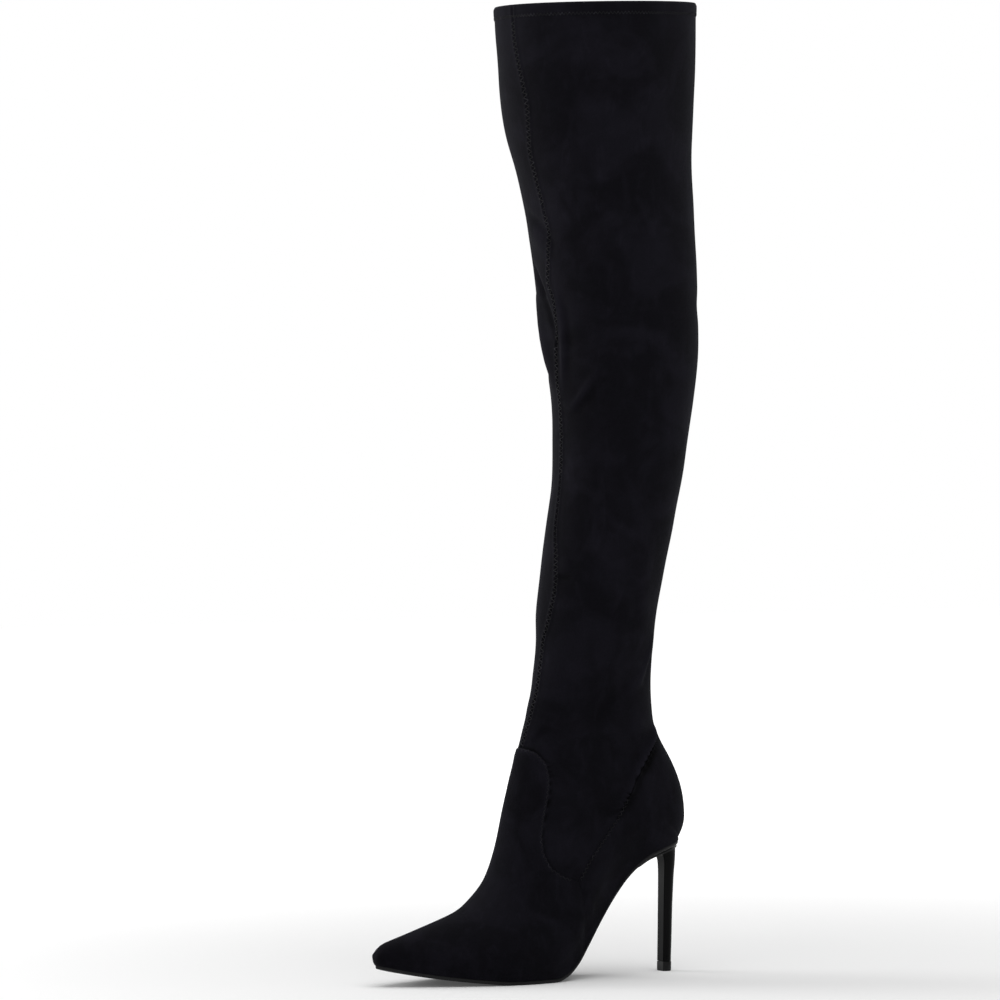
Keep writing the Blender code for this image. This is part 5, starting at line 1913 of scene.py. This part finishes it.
class BOOT_OT_heel(bpy.types.Operator):
    """Make the gloss stiletto heel and its top piece"""

    bl_idname = "boot.heel"
    bl_label = "Heel"

    def execute(self, context):
        looks = looks_of(context)
        speckle = group_of("speckle", speckle_group)
        coats = []
        # The second copy, for the breast, has more coat and less roughness: a painted highlight on the same
        # gloss coat
        for name, roughness, coat in (("heel_gloss_coat", 0.16, 0.05), ("heel_breast_painted_highlight", 0.12, 0.1)):
            coats.append(moulded(
                name, looks.heel_colour, roughness, speckle, 0.00002, 0.6, 500.0,
                coat_weight=coat, coat_roughness=0.04, specular_ior_level=0.03,
            ))
        rubber = moulded(
            "top_piece_rubber_grain", (0.005, 0.005, 0.0055), 0.55, speckle, 0.00005, 0.5,
            specular_ior_level=0.2,
        )
        body = heel_body(looks)
        heel = mesh_object("boot_heel", body.points, body.faces, coats, sharp=38)
        # Forward-facing faces take the breast's copy with the painted highlight
        for face in heel.data.polygons:
            face.material_index = int(face.normal.x > BREAST_FACING)
        finish_piece(heel, "heel_gloss", "heel")
        body = top_piece_body(looks)
        tip = mesh_object("boot_top_piece", body.points, body.faces, [rubber], sharp=38)
        finish_piece(tip, "top_piece_rubber", "top_piece")
        return {"FINISHED"}


class BOOT_OT_stage(bpy.types.Operator):
    """Set the camera, the soft studio light and the pale floor"""

    bl_idname = "boot.stage"
    bl_label = "Stage"

    def execute(self, context):
        self.floor()
        self.light(context.scene)
        self.camera(context.scene, looks_of(context))
        return {"FINISHED"}

    def floor(self):
        mesh = bpy.data.meshes.new("floor")
        size = FLOOR_SIZE / 2
        corners = [(-size, -size, 0), (size, -size, 0), (size, size, 0), (-size, size, 0)]
        mesh.from_pydata(corners, [], [(0, 1, 2, 3)])
        material, shader, graph = new_material("floor_white", (0.90,) * 3, 0.6, specular_ior_level=0.2)
        away = graph.add("ShaderNodeVectorMath", {0: graph.place()}, operation="LENGTH").outputs["Value"]
        shader.inputs["Emission Color"].default_value = (1.0, 1.0, 1.0, 1.0)
        graph.feed(shader.inputs["Emission Strength"], graph.ranged(away, 0.1, 1.8, 0.06, 0.8))
        mesh.materials.append(material)
        floor = linked("floor", mesh)
        floor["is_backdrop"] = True

    def light(self, scene):
        world = bpy.data.worlds.new("studio")
        world.use_nodes = True
        graph = Graph(world.node_tree)
        back = graph.nodes["Background"]
        back.inputs["Color"].default_value = (1.0, 1.0, 1.0, 1.0)
        seen = graph.add("ShaderNodeLightPath").outputs["Is Camera Ray"]
        graph.feed(back.inputs["Strength"], graph.ranged(seen, 0.0, 1.0, AMBIENT, 1.0, False))
        scene.world = world
        scene.view_settings.view_transform = "Standard"
        for name, place, size, power in LAMPS:
            lamp = bpy.data.lights.new(name, "AREA")
            lamp.shape = "RECTANGLE"
            lamp.size, lamp.size_y = size
            lamp.energy = power
            found = linked(name, lamp)
            found.location = place
            found.rotation_euler = (Vector(STAGE_AIM) - Vector(place)).to_track_quat("-Z", "Y").to_euler()

    def camera(self, scene, looks):
        data = bpy.data.cameras.new("camera")
        data.sensor_width = 36.0
        data.lens = looks.camera_lens
        data.shift_y = CAMERA_SHIFT
        data.clip_end = 50.0
        camera = linked("camera", data)
        camera.location = CAMERA_PLACE
        camera.rotation_euler = Vector(CAMERA_LOOK).to_track_quat("-Z", "Y").to_euler()
        scene.camera = camera


class BOOT_PT_panel(bpy.types.Panel):
    """Lists the boot's settings and what makes each piece"""

    bl_idname = "BOOT_PT_panel"
    bl_label = "Thigh High Boot"
    bl_space_type = "VIEW_3D"
    bl_region_type = "UI"
    bl_category = "Boot"

    def draw(self, context):
        layout = self.layout
        looks = looks_of(context)
        for name in BootLooks.__annotations__:
            layout.prop(looks, name)
        for operator in OPERATORS:
            layout.operator(operator.bl_idname)


OPERATORS = (
    BOOT_OT_stage, BOOT_OT_upper, BOOT_OT_overlays, BOOT_OT_stitches, BOOT_OT_sole, BOOT_OT_heel,
)
CLASSES = (BootLooks,) + OPERATORS + (BOOT_PT_panel,)


def register():
    for found in CLASSES:
        bpy.utils.register_class(found)
    bpy.types.Scene.boot_looks = bpy.props.PointerProperty(type=BootLooks)


def unregister():
    del bpy.types.Scene.boot_looks
    for found in reversed(CLASSES):
        bpy.utils.unregister_class(found)


def main():
    register()
    bpy.ops.boot.stage()
    bpy.ops.boot.upper()
    bpy.ops.boot.overlays()
    bpy.ops.boot.stitches()
    bpy.ops.boot.sole()
    bpy.ops.boot.heel()
    boxes = {"cad": CAD_BOX, "visual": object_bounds()}
    sizes = {name: [list(low), list(high)] for name, (low, high) in boxes.items()}


if __name__ == "__main__":
    main()
